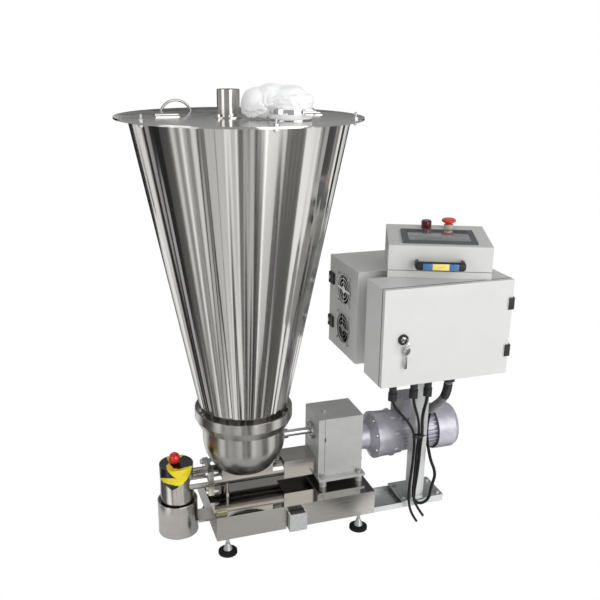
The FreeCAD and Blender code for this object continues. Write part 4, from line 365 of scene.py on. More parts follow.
def display_glass():
    # Switched-off display under a hard-coated polyester window: dark grey with soft blank fields
    made = Finish("display_window", linear("#70757a"), 0.16, 0.0, Coat_Weight=0.7, Coat_Roughness=0.05)
    made.blend(made.grain(38, 1.0), linear("#5d6266"), linear("#878b8f"))
    made.gloss(made.grain(9), 0.12, 0.24)
    return made


def tinted_lens(paint, name):
    # Moulded acrylic lens, tinted all through
    return Finish(name, paint, 0.12, 0.0, Coat_Weight=0.6, Coat_Roughness=0.05,
                  Transmission_Weight=0.15).skin(None, (2.5, 3.0, 0.1, 0.3), (5, 3.0, 0.8, 1.2))


MADE = {}


def make_finishes(colours):
    """All the materials, made once."""
    polished, brushed, cast = tuple(colours.polished), tuple(colours.brushed), tuple(colours.motor)
    MADE.update((key, made.material) for key, made in {
        "polished": polished_sheet(polished),
        "mirror": mirror_plate(polished),
        "bowl": spun_bowl(polished),
        "base": base_sheet(brushed),
        "block": brushed_sheet(brushed),
        # painted light: the head and the sleeve are the brushed steel of the base, painted 1.4 and 1.3
        # times as light
        "head": brushed_tube(shaded(brushed, 1.4), "head"),
        "sleeve": brushed_tube(shaded(brushed, 1.3), "sleeve"),
        "plate": ground_plate(tuple(colours.plate)),
        "machined": machined_steel(linear("#c4c4c4")),
        "zinc": zinc_plate(linear("#c3c5c6")),
        "channel": zinc_plate(linear("#cfd1d0"), "satin_steel_section"),
        "cabinet": powder_coat(tuple(colours.cabinet)),
        "motor": cast_paint(cast),
        "motor_dark": cast_paint(shaded(cast, 0.55), "shaded_cast_aluminium"),
        "rubber": rubber(tuple(colours.rubber)),
        "cable": rubber(linear("#0b0b0c"), "black_pvc_sheath"),
        "conduit": moulded(linear("#8b8c91"), "grey_corrugated_nylon", 0.45),
        # painted shade: a dark grey for the conduit's grooves
        "painted_groove_shade": moulded(linear("#3c3d41"), "conduit_groove_painted_shade", 0.6),
        "black": moulded(linear("#1b1c1e"), "black_moulded_nylon", 0.42),
        "module": moulded(linear("#3d4247"), "module_housing_plastic", 0.5),
        "bezel": moulded(linear("#4a4e52"), "dark_bezel_plastic", 0.35),
        "knob": moulded(tuple(colours.knob), "red_phenolic_knob", 0.2, 3, 0.6),
        "stop": moulded(linear("#e8452a"), "signal_red_button", 0.3, 2, 0.3),
        "collar": moulded(linear("#cdc6bd"), "light_grey_collar", 0.25),
        "blue": moulded(linear("#3f74ad"), "blue_film", 0.3, 2, 0.4),
        "yellow": moulded(linear("#f3e079"), "yellow_film", 0.3, 2, 0.4),
        "lamp": tinted_lens(linear("#641420"), "dark_red_lens"),
        "vial": tinted_lens(linear("#9a9f78"), "pale_green_vial"),
        "chrome": chrome(),
        "nickel": machined_steel(linear("#9c9b98"), "worn_nickel_plate"),
        "cloth": filter_cloth(tuple(colours.fabric)),
        "tape": printed_tape(tuple(colours.tape_light), "yellow_hazard_tape"),
        "tape_dark": printed_tape(tuple(colours.tape_dark), "black_hazard_tape"),
        "display": display_glass(),
    }.items())


# The nodes of the frame by their finish; a node that is not named here is zinc plated
NODE_FINISH = {node: kind for kind, nodes in {
    "polished": "hopper",
    "mirror": "lid_front lid_rear inlet_pipe",
    "bowl": "clamp_ring feed_bowl",
    "base": "base_cover",
    "block": "screw_barrel lantern_block",
    "head": "discharge_head discharge_cap",
    "sleeve": "outlet_sleeve",
    "plate": "housing_cover gear_housing housing_base",
    "machined": "agitator screw_front screw_rear load_cell shaft_bearings drive_shaft",
    "channel": "ground_frame outrigger_channel cabinet_post",
    "cabinet": "front_cabinet front_door rear_cabinet rear_door panel_tray panel_cover",
    "motor": "reducer_casing motor_body fan_cowl",
    "motor_dark": "terminal_box",
    "rubber": "foot_pads",
    "black": "motor_fan cabinet_hinges door_lock fan_frames fan_rotor_lower fan_rotor_upper cable_glands",
    "module": "control_modules",
    "bezel": "touch_panel",
    "knob": "cap_knob",
    "stop": "estop_button",
    "collar": "estop_collar",
    "lamp": "signal_lamp",
    "vial": "level_vial",
    "chrome": "hose_clamp lock_core fan_guards",
}.items() for node in nodes.split()}


# Making pieces

def fresh():
    """Object mode with nothing selected, before a new piece is added."""
    if bpy.context.object and bpy.context.object.mode != "OBJECT":
        bpy.ops.object.mode_set(mode="OBJECT")
    bpy.ops.object.select_all(action="DESELECT")


def alone(piece):
    """A piece as the active and only selected object."""
    fresh()
    bpy.context.view_layer.objects.active = piece
    piece.select_set(True)


def settle(piece):
    """Puts a piece's place, turn and scale into its mesh."""
    alone(piece)
    bpy.ops.object.transform_apply(location=True, rotation=True, scale=True)


def cut_away(piece, wanted):
    """Deletes the faces of a piece whose centre and direction pass a test."""
    alone(piece)
    bpy.ops.object.mode_set(mode="EDIT")
    bpy.ops.mesh.select_mode(type="FACE")
    bpy.ops.mesh.select_all(action="DESELECT")
    mesh = bmesh.from_edit_mesh(piece.data)
    for face in mesh.faces:
        face.select_set(wanted(face.calc_center_median(), face.normal))
    bmesh.update_edit_mesh(piece.data)
    bpy.ops.mesh.delete(type="FACE")
    bpy.ops.object.mode_set(mode="OBJECT")


def finished(piece, name, material, body="frame", smooth=35):
    """Puts a piece's place into its mesh and gives it its name, finish and body; a list is joined."""
    if isinstance(piece, list):
        piece = joined(piece)
    piece.name = piece.data.name = name
    settle(piece)
    bpy.ops.object.mode_set(mode="EDIT")
    bpy.ops.mesh.select_all(action="SELECT")
    bpy.ops.mesh.remove_doubles(threshold=1e-6)
    bpy.ops.mesh.normals_make_consistent(inside=False)
    bpy.ops.object.mode_set(mode="OBJECT")
    bpy.ops.object.shade_smooth_by_angle(angle=math.radians(smooth))
    piece.data.materials.clear()
    piece.data.materials.append(MADE[material])
    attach(piece, body)
    return piece


def modified(piece, kind, **settings):
    """Adds a modifier with its settings and applies it."""
    alone(piece)
    made = piece.modifiers.new(kind.title(), kind)
    for name, value in settings.items():
        setattr(made, name, value)
    bpy.ops.object.modifier_apply(modifier=made.name)
    return piece


def primitive(kind, **settings):
    """One of Blender's mesh primitives, added as from the menu."""
    fresh()
    getattr(bpy.ops.mesh, "primitive_" + kind + "_add")(**settings)
    return bpy.context.object


def block(centre, size, turn=0.0, edge=0.0, segments=3):
    """A box with rounded edges; its centre and size are in metres."""
    piece = primitive("cube", size=1, location=centre)
    piece.scale = size
    bpy.ops.object.transform_apply(location=False, rotation=False, scale=True)
    piece.rotation_euler = (0, 0, turn)
    if edge:
        modified(piece, "BEVEL", width=edge, segments=segments, limit_method="ANGLE")
    return piece


AXIS_TURNS = {"z": (0, 0, 0), "x": (0, math.pi / 2, 0), "-x": (0, -math.pi / 2, 0),
              "-y": (math.pi / 2, 0, 0), "y": (-math.pi / 2, 0, 0)}


def turned(centre, profile, axis="z", sides=32):
    """A round piece, extruded and scaled ring by ring from a profile of radius and height in mm."""
    start, lowest = profile[0]
    piece = primitive("circle", vertices=sides, radius=start / 1000, fill_type="NGON")
    bpy.ops.object.mode_set(mode="EDIT")
    bpy.ops.mesh.select_mode(type="FACE")
    bpy.ops.mesh.select_all(action="SELECT")
    bpy.ops.transform.translate(value=(0, 0, lowest / 1000))
    for (radius, height), (wider, higher) in zip(profile, profile[1:]):
        bpy.ops.mesh.extrude_region_move(
            TRANSFORM_OT_translate={"value": (0, 0, (higher - height) / 1000)})
        bpy.ops.transform.resize(value=(wider / radius, wider / radius, 1))
    bpy.ops.object.mode_set(mode="OBJECT")
    piece.location = centre
    piece.rotation_euler = AXIS_TURNS[axis]
    return piece


def ring(centre, radius, wire, axis="z", steps=40):
    """A wire ring; radius and wire are in millimetres."""
    piece = primitive("torus", major_radius=radius / 1000, minor_radius=wire / 1000,
                      major_segments=steps, minor_segments=10, location=centre)
    piece.rotation_euler = AXIS_TURNS[axis]
    return piece


def bolt(centre, across, height, axis="z"):
    """A chamfered hexagon bolt head on its washer; sizes are in millimetres."""
    half = across / 2 / math.cos(math.pi / 6)
    washer = turned(centre, [(across * 0.72, 0), (across * 0.72, 1.2)], axis, 20)
    head = turned(centre, [(half, 1.1), (half, height), (half * 0.82, height + across * 0.09)], axis, 6)
    return joined([washer, head])


def joined(pieces):
    """Several pieces as one mesh."""
    fresh()
    for piece in pieces:
        piece.select_set(True)
    bpy.context.view_layer.objects.active = pieces[0]
    bpy.ops.object.transform_apply(location=True, rotation=True, scale=True)
    if len(pieces) > 1:
        bpy.ops.object.join()
    return bpy.context.object


def placed(name, data):
    """A new object in the scene."""
    piece = bpy.data.objects.new(name, data)
    bpy.context.scene.collection.objects.link(piece)
    return piece


def smooth_curve(name, route, radius, resolution=16, round_steps=5):
    """A smooth curve whose control points are the route's points in mm from the hopper's axis."""
    data = bpy.data.curves.new(name, "CURVE")
    data.dimensions = "3D"
    spline = data.splines.new("NURBS")
    spline.points.add(len(route) - 1)
    for point, place in zip(spline.points, route):
        point.co = (*at(*place), 1)
    spline.order_u = 3
    spline.use_endpoint_u = True
    data.resolution_u = resolution
    data.bevel_depth = radius
    data.bevel_resolution = round_steps
    data.use_fill_caps = True
    return placed(name, data)


# Cords, as routes in millimetres from the hopper's axis

ROUTES = {
    "cable_left": [(377, -190, 464), (377, -190, 438), (404, -182, 403), (440, -168, 362),
                   (465, -156, 326), (475, -150, 285), (474, -149, 225), (469, -150, 165),
                   (462, -156, 115), (464, -162, 76), (474, -167, 46), (487, -171, 26)],
    "cable_middle": [(441, -190, 464), (441, -190, 436), (460, -180, 394), (477, -166, 352),
                     (485.5, -155, 308), (484, -150, 255), (483, -150, 200), (479, -152, 146),
                     (476, -156, 112), (483, -160, 84), (496, -165, 59), (509, -168, 39)],
    "cable_right": [(485, -190, 464), (485, -190, 436), (480, -183, 398), (483, -172, 358),
                    (494, -159, 316), (494, -150, 268), (493, -150, 213), (488, -151, 160),
                    (483, -152, 118), (483, -151, 88), (498.6, -151, 72.4), (520.6, -151, 72.4),
                    (536.2, -151, 88), (538, -151, 114), (545, -151, 138), (550, -151, 160),
                    (545, -151, 184), (534, -150, 208), (529, -143, 236), (531, -122, 266),
                    (540, -100, 294), (548, -92, 328), (548.6, -110, 360)],
    "motor_conduit": [(550, -190, 510), (550, -190, 456), (549.5, -159, 408), (549, -118, 374),
                      (548.5, -101, 352)],
}


def centre_line(name):
    """Evenly spaced points along a route's smooth curve."""
    bare = smooth_curve(name, ROUTES[name], 0)
    bpy.context.view_layer.update()
    drawn = bpy.data.meshes.new_from_object(bare)
    points = [vertex.co.copy() for vertex in drawn.vertices]
    bpy.data.objects.remove(bare)
    even, left = [points[0]], LINE_STEP
    for first, second in zip(points, points[1:]):
        step = (second - first).length
        gone = left
        while gone <= step:
            even.append(first.lerp(second, gone / step))
            gone += LINE_STEP
        left = gone - step
    return even


def along_line(points, radii, name, sides=20):
    """A tube round a line, with a radius for each of its points."""
    mesh = bmesh.new()
    rings = []
    side = Vector((1, 0, 0))
    for index, point in enumerate(points):
        heading = (points[min(index + 1, len(points) - 1)] - points[max(index - 1, 0)]).normalized()
        side = (side - heading * side.dot(heading)).normalized()
        other = heading.cross(side)
        rings.append([mesh.verts.new(point + radii[index] * (
            side * math.cos(turn) + other * math.sin(turn)))
            for turn in (2 * math.pi * step / sides for step in range(sides))])
    for near, far in zip(rings, rings[1:]):
        for step in range(sides):
            after = (step + 1) % sides
            mesh.faces.new((near[step], near[after], far[after], far[step]))
    mesh.faces.new(rings[0][::-1])
    mesh.faces.new(rings[-1])
    for face in mesh.faces:
        face.smooth = True
    data = bpy.data.meshes.new(name)
    mesh.to_mesh(data)
    mesh.free()
    return placed(name, data)


class FEEDER_OT_camera(bpy.types.Operator):
    """Place the camera where the photograph was taken"""
    bl_idname = "feeder.camera"
    bl_label = "Camera"

    def execute(self, context):
        yaw, pitch, roll = (math.radians(value) for value in CAMERA_TURNS)
        ahead = Vector((math.sin(yaw) * math.cos(pitch), math.cos(yaw) * math.cos(pitch),
                        -math.sin(pitch)))
        right = Vector((math.cos(yaw), -math.sin(yaw), 0))
        up = right.cross(ahead)
        level_right = right * math.cos(roll) + up * math.sin(roll)
        level_up = up * math.cos(roll) - right * math.sin(roll)
        data = bpy.data.cameras.new("photo_camera")
        data.sensor_width = 36
        data.lens = CAMERA_LENS
        data.clip_end = 50
        camera = placed("photo_camera", data)
        turn = Matrix((level_right, level_up, -ahead)).transposed().to_4x4()
        camera.matrix_world = Matrix.Translation(at(*CAMERA_PLACE)) @ turn
        context.scene.camera = camera
        return {"FINISHED"}


class FEEDER_OT_cords(bpy.types.Operator):
    """Draw the three cables and the corrugated conduit under the front cabinet"""
    bl_idname = "feeder.cords"
    bl_label = "Cables and conduit"

    def execute(self, context):
        sizes = context.scene.feeder_sizes
        for name, radius, end in (("cable_left", sizes.cable, "bare"),
                                  ("cable_middle", sizes.cable, "bare"),
                                  ("cable_right", sizes.thick_cable, "object")):
            cable = smooth_curve(name + "_sheath", ROUTES[name], radius)
            cable.data.materials.append(MADE["cable"])
            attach(cable, "frame")
            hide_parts(name)
            at(*ROUTES[name][0])
        points = centre_line("motor_conduit")
        outer = sizes.conduit
        radii = [outer * (1 - 0.085 * (1 + math.cos(2 * math.pi * index * LINE_STEP / sizes.rib)))
                 for index in range(len(points))]
        conduit = along_line(points, radii, "corrugated_conduit", 24)
        conduit.data.materials.append(MADE["conduit"])
        conduit.data.materials.append(MADE["painted_groove_shade"])
        # painted shade: the faces in the conduit's grooves get the dark grey
        for face in conduit.data.polygons:
            if face.index // 24 < len(radii) and radii[face.index // 24] < outer * 0.9:
                face.material_index = 1
        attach(conduit, "frame")
        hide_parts("motor_conduit")
        covered = slice(50, 122)
        sleeve = along_line(points[covered], [radius * 1.05 for radius in radii[covered]],
                            "conduit_sleeve", 32)
        sleeve.data.materials.append(MADE["black"])
        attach(sleeve, "frame")
        at(*ROUTES["motor_conduit"][0])
        [tuple(point) for point in points[::4]]
        return {"FINISHED"}


class FEEDER_OT_finishes(bpy.types.Operator):
    """Make the materials and give each node of the frame its finish"""
    bl_idname = "feeder.finishes"
    bl_label = "Finishes"

    def execute(self, context):
        make_finishes(context.scene.feeder_colours)
        for name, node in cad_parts.items():
            node.data.materials.clear()
            node.data.materials.append(MADE[NODE_FINISH.get(name, "zinc")])
        return {"FINISHED"}


# Lobes of the bag over the lid, from the vent's middle: centre and radii in millimetres
LOBES = (((-4, 2, 56), (53, 53, 39)), ((-38, 20, 57), (50, 46, 40)), ((-76, 36, 43), (48, 47, 42)))
CLOTH = {"quality": 6, "mass": 0.2, "tension_stiffness": 30, "compression_stiffness": 30,
         "shear_stiffness": 10, "bending_stiffness": 0.6, "vertex_group_mass": "held",
         "shrink_min": -0.07, "use_pressure": True, "uniform_pressure_force": 0.9}
SETTLING_FRAMES = 26


class FEEDER_OT_filter_bag(bpy.types.Operator):
    """Drape the cloth filter bag over the vent spigot"""
    bl_idname = "feeder.filter_bag"
    bl_label = "Filter bag"

    def execute(self, context):
        x, y = VENT
        parts = [turned(at(x, y, LID_TOP), [(53, 1), (53, 20), (52, 26), (53, 34), (54, 60)], "z", 64)]
        for (across, along, up), radii in LOBES:
            parts.append(primitive("uv_sphere", segments=48, ring_count=24, radius=0.001,
                                   location=at(x + across, y + along, LID_TOP + up)))
            parts[-1].scale = radii
        bag = joined(parts)
        modified(bag, "REMESH", mode="VOXEL", voxel_size=0.0036)
        modified(bag, "SMOOTH", iterations=3, factor=0.5)
        crumpled = bpy.data.textures.new("crumples", "CLOUDS")
        crumpled.noise_scale = 0.06
        modified(bag, "DISPLACE", texture=crumpled, texture_coords="GLOBAL", strength=0.012,
                 mid_level=0.5)
        for vertex in bag.data.vertices:
            vertex.co.z = max(vertex.co.z, BAG_FLOOR)
        start = [vertex.co.copy() for vertex in bag.data.vertices]
        spigot = at(x, y, 0)
        held = bag.vertex_groups.new(name="held")
        for vertex in bag.data.vertices:
            off = math.hypot(vertex.co.x - spigot.x, vertex.co.y - spigot.y)
            if vertex.co.z < at(0, 0, LID_TOP + 30).z and off < 0.0565:
                held.add([vertex.index], 1.0, "REPLACE")
        self.crumple(context, bag, start)
        cut_away(bag, lambda centre, normal: centre.z < BAG_FLOOR + 0.001
                 and math.hypot(centre.x - spigot.x, centre.y - spigot.y) < 0.0485)
        modified(bag, "SUBSURF", levels=1, render_levels=1)
        finished(bag, "draped_filter_bag", "cloth", smooth=180)
        modified(bag, "SOLIDIFY", thickness=context.scene.feeder_sizes.bag_wall, offset=-1)
        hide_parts("filter_bag")
        return {"FINISHED"}

    def crumple(self, context, bag, start):
        """Lets the cloth grow and settle, so that it buckles into folds on the lid."""
        table = primitive("plane", size=1.2, location=at(0, 0, LID_TOP + 0.4))
        pipe = turned(at(*VENT, LID_TOP), [(50, 1), (50, 54)], "z", 64)
        for solid in (table, pipe):
            solid.modifiers.new("Collision", "COLLISION")
            solid.collision.thickness_outer = 0.001
        cloth = bag.modifiers.new("Cloth", "CLOTH")
        for name, value in CLOTH.items():
            setattr(cloth.settings, name, value)
        cloth.settings.effector_weights.gravity = 0.3
        cloth.collision_settings.distance_min = 0.001
        cloth.collision_settings.use_self_collision = True
        cloth.collision_settings.self_distance_min = 0.001
        cloth.point_cache.frame_start = 1
        cloth.point_cache.frame_end = SETTLING_FRAMES
        for step in range(1, SETTLING_FRAMES + 1):
            context.scene.frame_set(step)
        alone(bag)
        bpy.ops.object.modifier_apply(modifier=cloth.name)
        context.scene.frame_set(1)
        for vertex, before in zip(bag.data.vertices, start):
            move = vertex.co - before
            if move.length > BAG_REACH:
                vertex.co = before + move.normalized() * BAG_REACH
            vertex.co.z = max(vertex.co.z, BAG_FLOOR)
        bpy.data.objects.remove(table)
        bpy.data.objects.remove(pipe)


class FEEDER_OT_hopper_parts(bpy.types.Operator):
    """Add the hopper's weld seam, the lid's stud ends, the inlet flange's nut and the hose clamp's screw"""
    bl_idname = "feeder.hopper_parts"
    bl_label = "Hopper and lid parts"

    def execute(self, context):
        seam = ((0, 121.6, 390), (0, 180.6, 688), (0, 240.4, 991), (0, 283.1, 1203))
        alone(smooth_curve("weld", seam, 0.0009, 12, 3))
        bpy.ops.object.convert(target="MESH")
        finished(context.object, "hopper_weld", "mirror")
        studs = [turned(at(301 * math.cos(turn), 301 * math.sin(turn), LID_TOP + 4),
                        [(3.4, 0), (3.4, 12), (2.2, 14)], "z", 20)
                 for turn in map(math.radians, (-153, -89, -35))]
        finished(studs, "lid_stud_ends", "zinc")
        finished(bolt(at(-54, -17, LID_TOP + 6), 9, 6), "inlet_flange_nut", "zinc")
        house = block(at(VENT[0] + 25, VENT[1] - 57.6, LID_TOP + 21), (0.012, 0.004, 0.009), 0, 0.0008)
        finished(house, "hose_clamp_screw_house", "chrome")
        return {"FINISHED"}


# The side from which the tape's fields are drawn, and how much of depth and height shows from there
TAPE_FRONT, DEPTH_SEEN, HEIGHT_SEEN = math.radians(-8.6), 0.49, 0.872
# Edge of the tape on the cap's side: turn in degrees from the front, drop under the cap's edge in mm
TAPE_EDGE = ((-180, 3), (-128, 3), (-100, 24), (-81, 35), (-60, 41), (-25, 60), (-2, 49), (30, 31),
             (53, 8), (75, 3), (180, 3))
# Black fields of the folded tape, drawn as they look from the front in mm right of and under its middle
TAPE_FIELDS = (
    ((-51, -18), (-28, -20), (-19, -1), (-28, 6), (-26, 17), (-19, 28), (-3, 43), (-41, 39), (-51, 40)),
    ((-36, 53), (-15, 59), (7, 66), (6, 80), (-36, 80)),
    ((-19, -1), (-16, 4), (-9, 14), (6, 18), (25, 14), (45, 11), (52, 11), (52, -8), (30, -25), (18, -18),
     (6, -8), (-19, -8)),
)


def in_field(field, across, under):
    """Whether a point lies inside a closed outline."""
    inside = False
    for (x, y), (last_x, last_y) in zip(field, (field[-1], *field)):
        if (y > under) != (last_y > under) and across < x + (under - y) * (last_x - x) / (last_y - y):
            inside = not inside
    return inside


class FEEDER_OT_discharge_parts(bpy.types.Operator):
    """Add the hazard tape, the ball knob and the rolled rims of the discharge head"""
    bl_idname = "feeder.discharge_parts"
    bl_label = "Discharge head parts"

    def execute(self, context):
        rows = 28
        edge = TAPE_TOP - 0.7
        profile = [(6.2, TAPE_TOP - 0.1), *((9 + 2 * step, TAPE_TOP) for step in range(19)),
                   (47.6, TAPE_TOP)]
        profile += [(48.15, edge - TAPE_DEPTH * row / rows) for row in range(rows + 1)]
        tape = turned(at(*HEAD, 0), profile, "z", 144)
        settle(tape)
        centre = at(*HEAD, 0)
        for vertex in tape.data.vertices:
            away = vertex.co - centre
            angle = math.degrees(math.atan2(away.x, -away.y))
            drop = next(low + (high - low) * (angle - first) / (second - first)
                        for (first, low), (second, high) in zip(TAPE_EDGE, TAPE_EDGE[1:])
                        if angle <= second + 1e-6)
            below = edge / 1000 - vertex.co.z
            if below > 0:
                vertex.co.z = (edge - below * 1000 / TAPE_DEPTH * drop) / 1000
        cut_away(tape, lambda middle, normal: abs(normal.z) > 0.9 and (middle - centre).xy.length < 0.004)
        finished(tape, "hazard_tape", "tape", smooth=60)
        tape.data.materials.append(MADE["tape_dark"])
        for face in tape.data.polygons:
            away = (face.center - centre) * 1000
            across = away.x * math.cos(TAPE_FRONT) + away.y * math.sin(TAPE_FRONT)
            nearer = away.x * math.sin(TAPE_FRONT) - away.y * math.cos(TAPE_FRONT)
            under = DEPTH_SEEN * nearer + HEIGHT_SEEN * (TAPE_TOP - away.z)
            if any(in_field(field, across, under) for field in TAPE_FIELDS):
                face.material_index = 1
        knob = turned(at(HEAD[0] - 4, 0, TAPE_TOP), [(8, 0), (12.5, 3), (15.4, 8), (16.4, 15), (15.6, 22),
                                                     (12.5, 28), (7, 32), (1.5, 33.1)], "z", 40)
        modified(knob, "SUBSURF", levels=1, render_levels=1)
        finished(knob, "ball_knob", "knob", smooth=60)
        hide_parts("cap_knob")
        rims = [ring(at(*HEAD, height), 56.4, 1.0, steps=96) for height in (131.4, 30.8)]
        finished(rims, "sleeve_rims", "sleeve", smooth=60)
        parts = []
        for side in (-37, 37):
            for height in (157, 217):
                parts.append(bolt(at(-117, side, height), 12, 6, "-x"))
                parts.append(turned(at(-101, side, height), [(4, 0), (4, 14), (3.2, 15)], "x", 16))
        finished(parts, "flange_bolts", "zinc")
        return {"FINISHED"}


class FEEDER_OT_drive_parts(bpy.types.Operator):
    """Add the bolts, ribs and plugs of the gear motor and gear housing"""
    bl_idname = "feeder.drive_parts"
    bl_label = "Gear motor parts"

    def execute(self, context):
        across = context.scene.feeder_sizes.bolt * 1000
        bolts, bosses = [], []
        for turn in (math.radians(22.5 + 45 * step) for step in range(8)):
            def spot(x, radius):
                return at(x, radius * math.cos(turn), MOTOR_AXIS + radius * math.sin(turn))
            bolts.append(bolt(spot(400.5, 62), across * 0.85, 5, "-x"))
            bosses.append(turned(spot(452, 66.5), [(4, 0), (7, 5), (7, 17)], "x", 20))
            bolts.append(bolt(spot(469, 61), across * 0.7, 4, "x"))
        finished(bosses, "reducer_bosses", "motor", smooth=40)
        finished(bolts, "reducer_bolts", "zinc")
        screws = [turned(at(x, y, 363), [(3.6, 0), (3.6, 2), (2.4, 2.8)], "z", 16)
                  for x in (487, 539) for y in (-30, 30)]
        finished(screws, "terminal_lid_screws", "zinc")
        slot = block(at(230, -60.6, 281), (0.004, 0.0012, 0.013), 0, 0.0005)
        finished(slot, "housing_breather_slot", "black")
        finished(block(at(229.4, -60.45, 255), (0.0011, 0.0003, 0.184)), "housing_seam", "black")
        plugs = [bolt(at(349, -44, 194), 9, 5, "x"),
                 turned(at(270, -60.4, 340), [(3, 0), (3, 1)], "-y", 12)]
        finished(plugs, "housing_plugs", "zinc")
        return {"FINISHED"}


class FEEDER_OT_cabinet_parts(bpy.types.Operator):
    """Add the door gaskets, the hanging key and the cable ties"""
    bl_idname = "feeder.cabinet_parts"
    bl_label = "Cabinet parts"

    def execute(self, context):
        key_ring = ring(at(364, -276, 640), 9, 0.7, "x")
        bow = turned(at(371, -272, 625), [(10.5, -1), (10.5, 1)], "y", 32)
        modified(bow, "BEVEL", width=0.0004, segments=2, limit_method="ANGLE")
        blade = block(at(370, -272, 596), (0.006, 0.0019, 0.042), 0, 0.0004)
        tip = block(at(369.2, -272, 586), (0.0085, 0.0017, 0.018), 0, 0.0004)
        finished([key_ring, bow, blade, tip], "hanging_key", "nickel", "lock")
        sides = [block(at(306.9, -245.6, 657), (0.0006, 0.0026, 0.270)),
                 *(block(at(496, -245.6, height), (0.378, 0.0026, 0.0006)) for height in (792.1, 521.9))]
        finished(sides, "door_gasket", "rubber")
        covers = [block(at(680, -264.4, height), (0.018, 0.0044, 0.034), 0, 0.0012)
                  for height in (590, 725)]
        finished(covers, "door_hinge_covers", "black", "front_door")
        tie = ring(at(484, -153, 302), 17, 1.7)
        tie.scale = (1.0, 0.5, 2.4)
        finished(tie, "cable_tie", "black")
        tail = block(at(503, -158, 303), (0.012, 0.0012, 0.003), 0.3, 0.0004)
        finished(tail, "cable_tie_tail", "black")
        return {"FINISHED"}


class FEEDER_OT_operator_box_parts(bpy.types.Operator):
    """Add the display window, the handle and its coloured film"""
    bl_idname = "feeder.operator_box_parts"
    bl_label = "Operator box parts"

    def execute(self, context):
        slope = math.atan2(10, 219)
        window = block((0, 0, 0), (0.166, 0.104, 0.0012), 0, 0.0004)
        tilted = Matrix.Rotation(BOX_TURN, 4, "Z") @ Matrix.Rotation(slope, 4, "X")
        window.rotation_euler = tilted.to_euler()
        window.location = on_box(23, 8, box_top(8) + 5.2)
        finished(window, "display_window", "display", "panel")
        handle = block(on_box(21, -101, 42), (0.133, 0.042, 0.024), BOX_TURN)
        modified(handle, "BEVEL", width=0.009, segments=6, limit_method="ANGLE", affect="EDGES")
        gap = block(on_box(21, -99, 42), (0.115, 0.046, 0.05), BOX_TURN, 0.006, 5)
        gap.location = on_box(21, -90, 42)
        modified(handle, "BOOLEAN", object=gap, operation="DIFFERENCE", solver="EXACT")
        bpy.data.objects.remove(gap)
        finished(handle, "moulded_handle", "black", "panel")
        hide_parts("panel_handle")
        seams = [block(on_box(x, y, SEAM), (wide / 1000, deep / 1000, 0.0013), BOX_TURN)
                 for x, y, wide, deep in ((23, -80.1, 276, 0.4), (23, 139.1, 276, 0.4),
                                          (-115.1, 29.5, 0.4, 219), (161.1, 29.5, 0.4, 219))]
        finished(seams, "box_seam", "black", "panel")
        for name, middle, wide, film in (("film_left", -13, 25, "blue"),
                                         ("film_middle", 21, 43, "yellow"),
                                         ("film_right", 55, 25, "blue")):
            strip = block(on_box(middle, -122.3, 42), (wide / 1000, 0.0008, 0.017), BOX_TURN, 0.0003)
            finished(strip, name, film, "panel")
        return {"FINISHED"}


# Lamps: name, place in metres, size and power
LAMPS = (("key", (1.2, -3.3, 1.7), 3.2, 78), ("fill", (-3.2, -1.2, 1.6), 1.6, 12),
         ("top", (0.2, 0.4, 3.6), 2.4, 6), ("back", (-1.0, 3.2, 2.2), 2.0, 8))
# Wedges on the floor that the hopper mirrors: direction from the camera's side, width in degrees, card
WEDGES = ((-130, 22, "bright"), (-101, 11, "dark"), (-83, 25, "grey"), (-58, 12, "bright"),
          (-46, 4.5, "dark"), (-25, 3, "grey"), (-8.5, 5, "bright"), (-1, 6, "dark"), (12.5, 10, "dark"),
          (26, 12, "bright"), (33, 1.5, "dark"), (50, 4, "dark"), (59, 13, "grey"), (77, 20, "bright"),
          (109, 20, "grey"), (133, 20, "bright"), (158, 16, "dark"), (-160, 14, "grey"))
WEDGE_NEAR, WEDGE_FAR = 0.42, 7.5


def white_to_camera(tree, other, kind):
    """Mixes a shader with plain white that only the camera sees."""
    light = add(tree, "LightPath")
    seen = add(tree, "Math", {"operation": "MAXIMUM"},
               {0: light.outputs["Is Camera Ray"], 1: light.outputs["Is Transmission Ray"]})
    white = add(tree, kind, values={"Color": (1, 1, 1, 1), "Strength": 1.0})
    return add(tree, "MixShader", values={0: seen.outputs[0], 1: other.outputs[0],
                                          2: white.outputs[0]}).outputs[0]


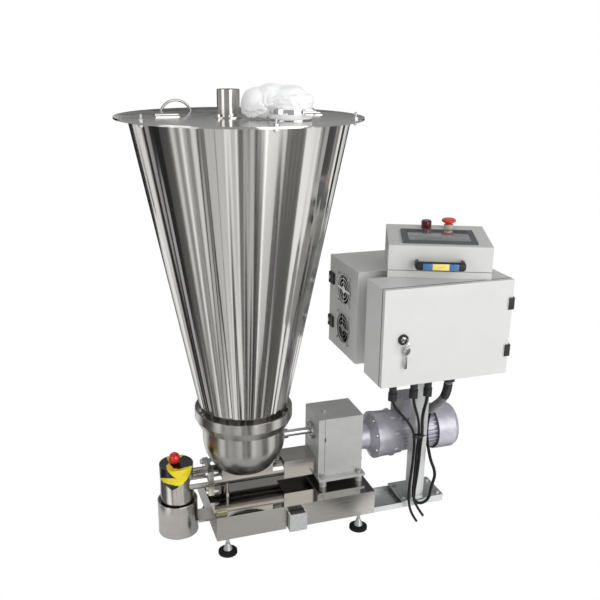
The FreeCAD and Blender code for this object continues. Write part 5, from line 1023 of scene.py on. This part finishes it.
class FEEDER_OT_stage(bpy.types.Operator):
    """Set the floor, the soft lamps and the dark cards that the polished steel mirrors"""
    bl_idname = "feeder.stage"
    bl_label = "Studio"

    def execute(self, context):
        floor = primitive("plane", size=40, location=(0, 0, 0))
        floor.name = "studio_floor"
        matt = Finish("matt_white_floor", (0.82, 0.82, 0.82), 0.9, 0.0,
                      Emission_Color=(1, 1, 1, 1), Emission_Strength=0.16)
        matt.tree.links.new(white_to_camera(matt.tree, matt.shader, "Emission"),
                            matt.tree.nodes["Material Output"].inputs[0])
        floor.data.materials.append(matt.material)
        world = context.scene.world = bpy.data.worlds.new("studio")
        world.use_nodes = True
        tree = world.node_tree
        tree.nodes.clear()
        soft = add(tree, "Background", values={"Color": (1, 1, 1, 1), "Strength": 0.42})
        add(tree, "OutputWorld", values={0: white_to_camera(tree, soft, "Background")})
        for name, place, size, power in LAMPS:
            lamp = bpy.data.lights.new(name, "AREA")
            lamp.size = size
            lamp.energy = power
            holder = placed(name + "_lamp", lamp)
            holder.location = place
            aim = Vector((0, 0, 0.6)) - Vector(place)
            holder.rotation_euler = aim.to_track_quat("-Z", "Y").to_euler()
        cards = {
            "dark": Finish("black_card", (0.02, 0.02, 0.02), 0.9).material,
            "grey": Finish("grey_card", (0.16, 0.16, 0.155), 0.9).material,
            "bright": Finish("lit_white_card", (0.9, 0.9, 0.9), 0.9, 0.0,
                             Emission_Color=(1, 1, 1, 1), Emission_Strength=0.7).material,
        }
        for turn, wide, card in WEDGES:
            self.strip(turn, wide, cards[card])
        behind = primitive("plane", size=1, location=(0.4, 2.2, 0.75), rotation=(math.pi / 2, 0, 0))
        behind.name = "rear_card"
        behind.scale = (4.5, 1.3, 1)
        self.card(behind, cards["dark"])
        context.scene.view_settings.view_transform = "Standard"
        return {"FINISHED"}

    def strip(self, turn, wide, material):
        """A strip on the floor that points at the hopper, turned by degrees from the camera's side."""
        strip = primitive("plane", size=1, location=at(0, 0, 3))
        strip.name = "floor_card"
        for vertex in strip.data.vertices:
            away = WEDGE_NEAR if vertex.co.y < 0 else WEDGE_FAR
            half = away * math.tan(math.radians(wide / 2))
            vertex.co = (math.copysign(half, vertex.co.x), away, 0)
        strip.rotation_euler = (0, 0, math.pi + math.radians(turn - CAMERA_SIDE))
        self.card(strip, material)

    def card(self, card, material):
        """Only mirror images show a card."""
        card.data.materials.append(material)
        card.visible_camera = card.visible_diffuse = card.visible_shadow = False
        card.visible_transmission = False


class FEEDER_PT_panel(bpy.types.Panel):
    """Buttons for the feeder's pieces, with its sizes and colours"""
    bl_idname = "FEEDER_PT_panel"
    bl_label = "Feeder"
    bl_space_type = "VIEW_3D"
    bl_region_type = "UI"
    bl_category = "Feeder"

    def draw(self, context):
        for kind in STEPS:
            self.layout.operator(kind.bl_idname)
        for group in (context.scene.feeder_sizes, context.scene.feeder_colours):
            for name in group.bl_rna.properties.keys():
                if name not in ("rna_type", "name"):
                    self.layout.prop(group, name)


STEPS = (FEEDER_OT_finishes, FEEDER_OT_camera, FEEDER_OT_cords, FEEDER_OT_filter_bag,
         FEEDER_OT_hopper_parts, FEEDER_OT_discharge_parts, FEEDER_OT_drive_parts,
         FEEDER_OT_cabinet_parts, FEEDER_OT_operator_box_parts, FEEDER_OT_stage)
CLASSES = (FeederColours, FeederSizes, *STEPS, FEEDER_PT_panel)


def register():
    for kind in CLASSES:
        bpy.utils.register_class(kind)
    bpy.types.Scene.feeder_colours = bpy.props.PointerProperty(type=FeederColours)
    bpy.types.Scene.feeder_sizes = bpy.props.PointerProperty(type=FeederSizes)


def unregister():
    del bpy.types.Scene.feeder_sizes
    del bpy.types.Scene.feeder_colours
    for kind in reversed(CLASSES):
        bpy.utils.unregister_class(kind)


def main():
    """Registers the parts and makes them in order."""
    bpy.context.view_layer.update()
    register()
    for kind in STEPS:
        group, name = kind.bl_idname.split(".")
        getattr(getattr(bpy.ops, group), name)()


if __name__ == "__main__":
    main()
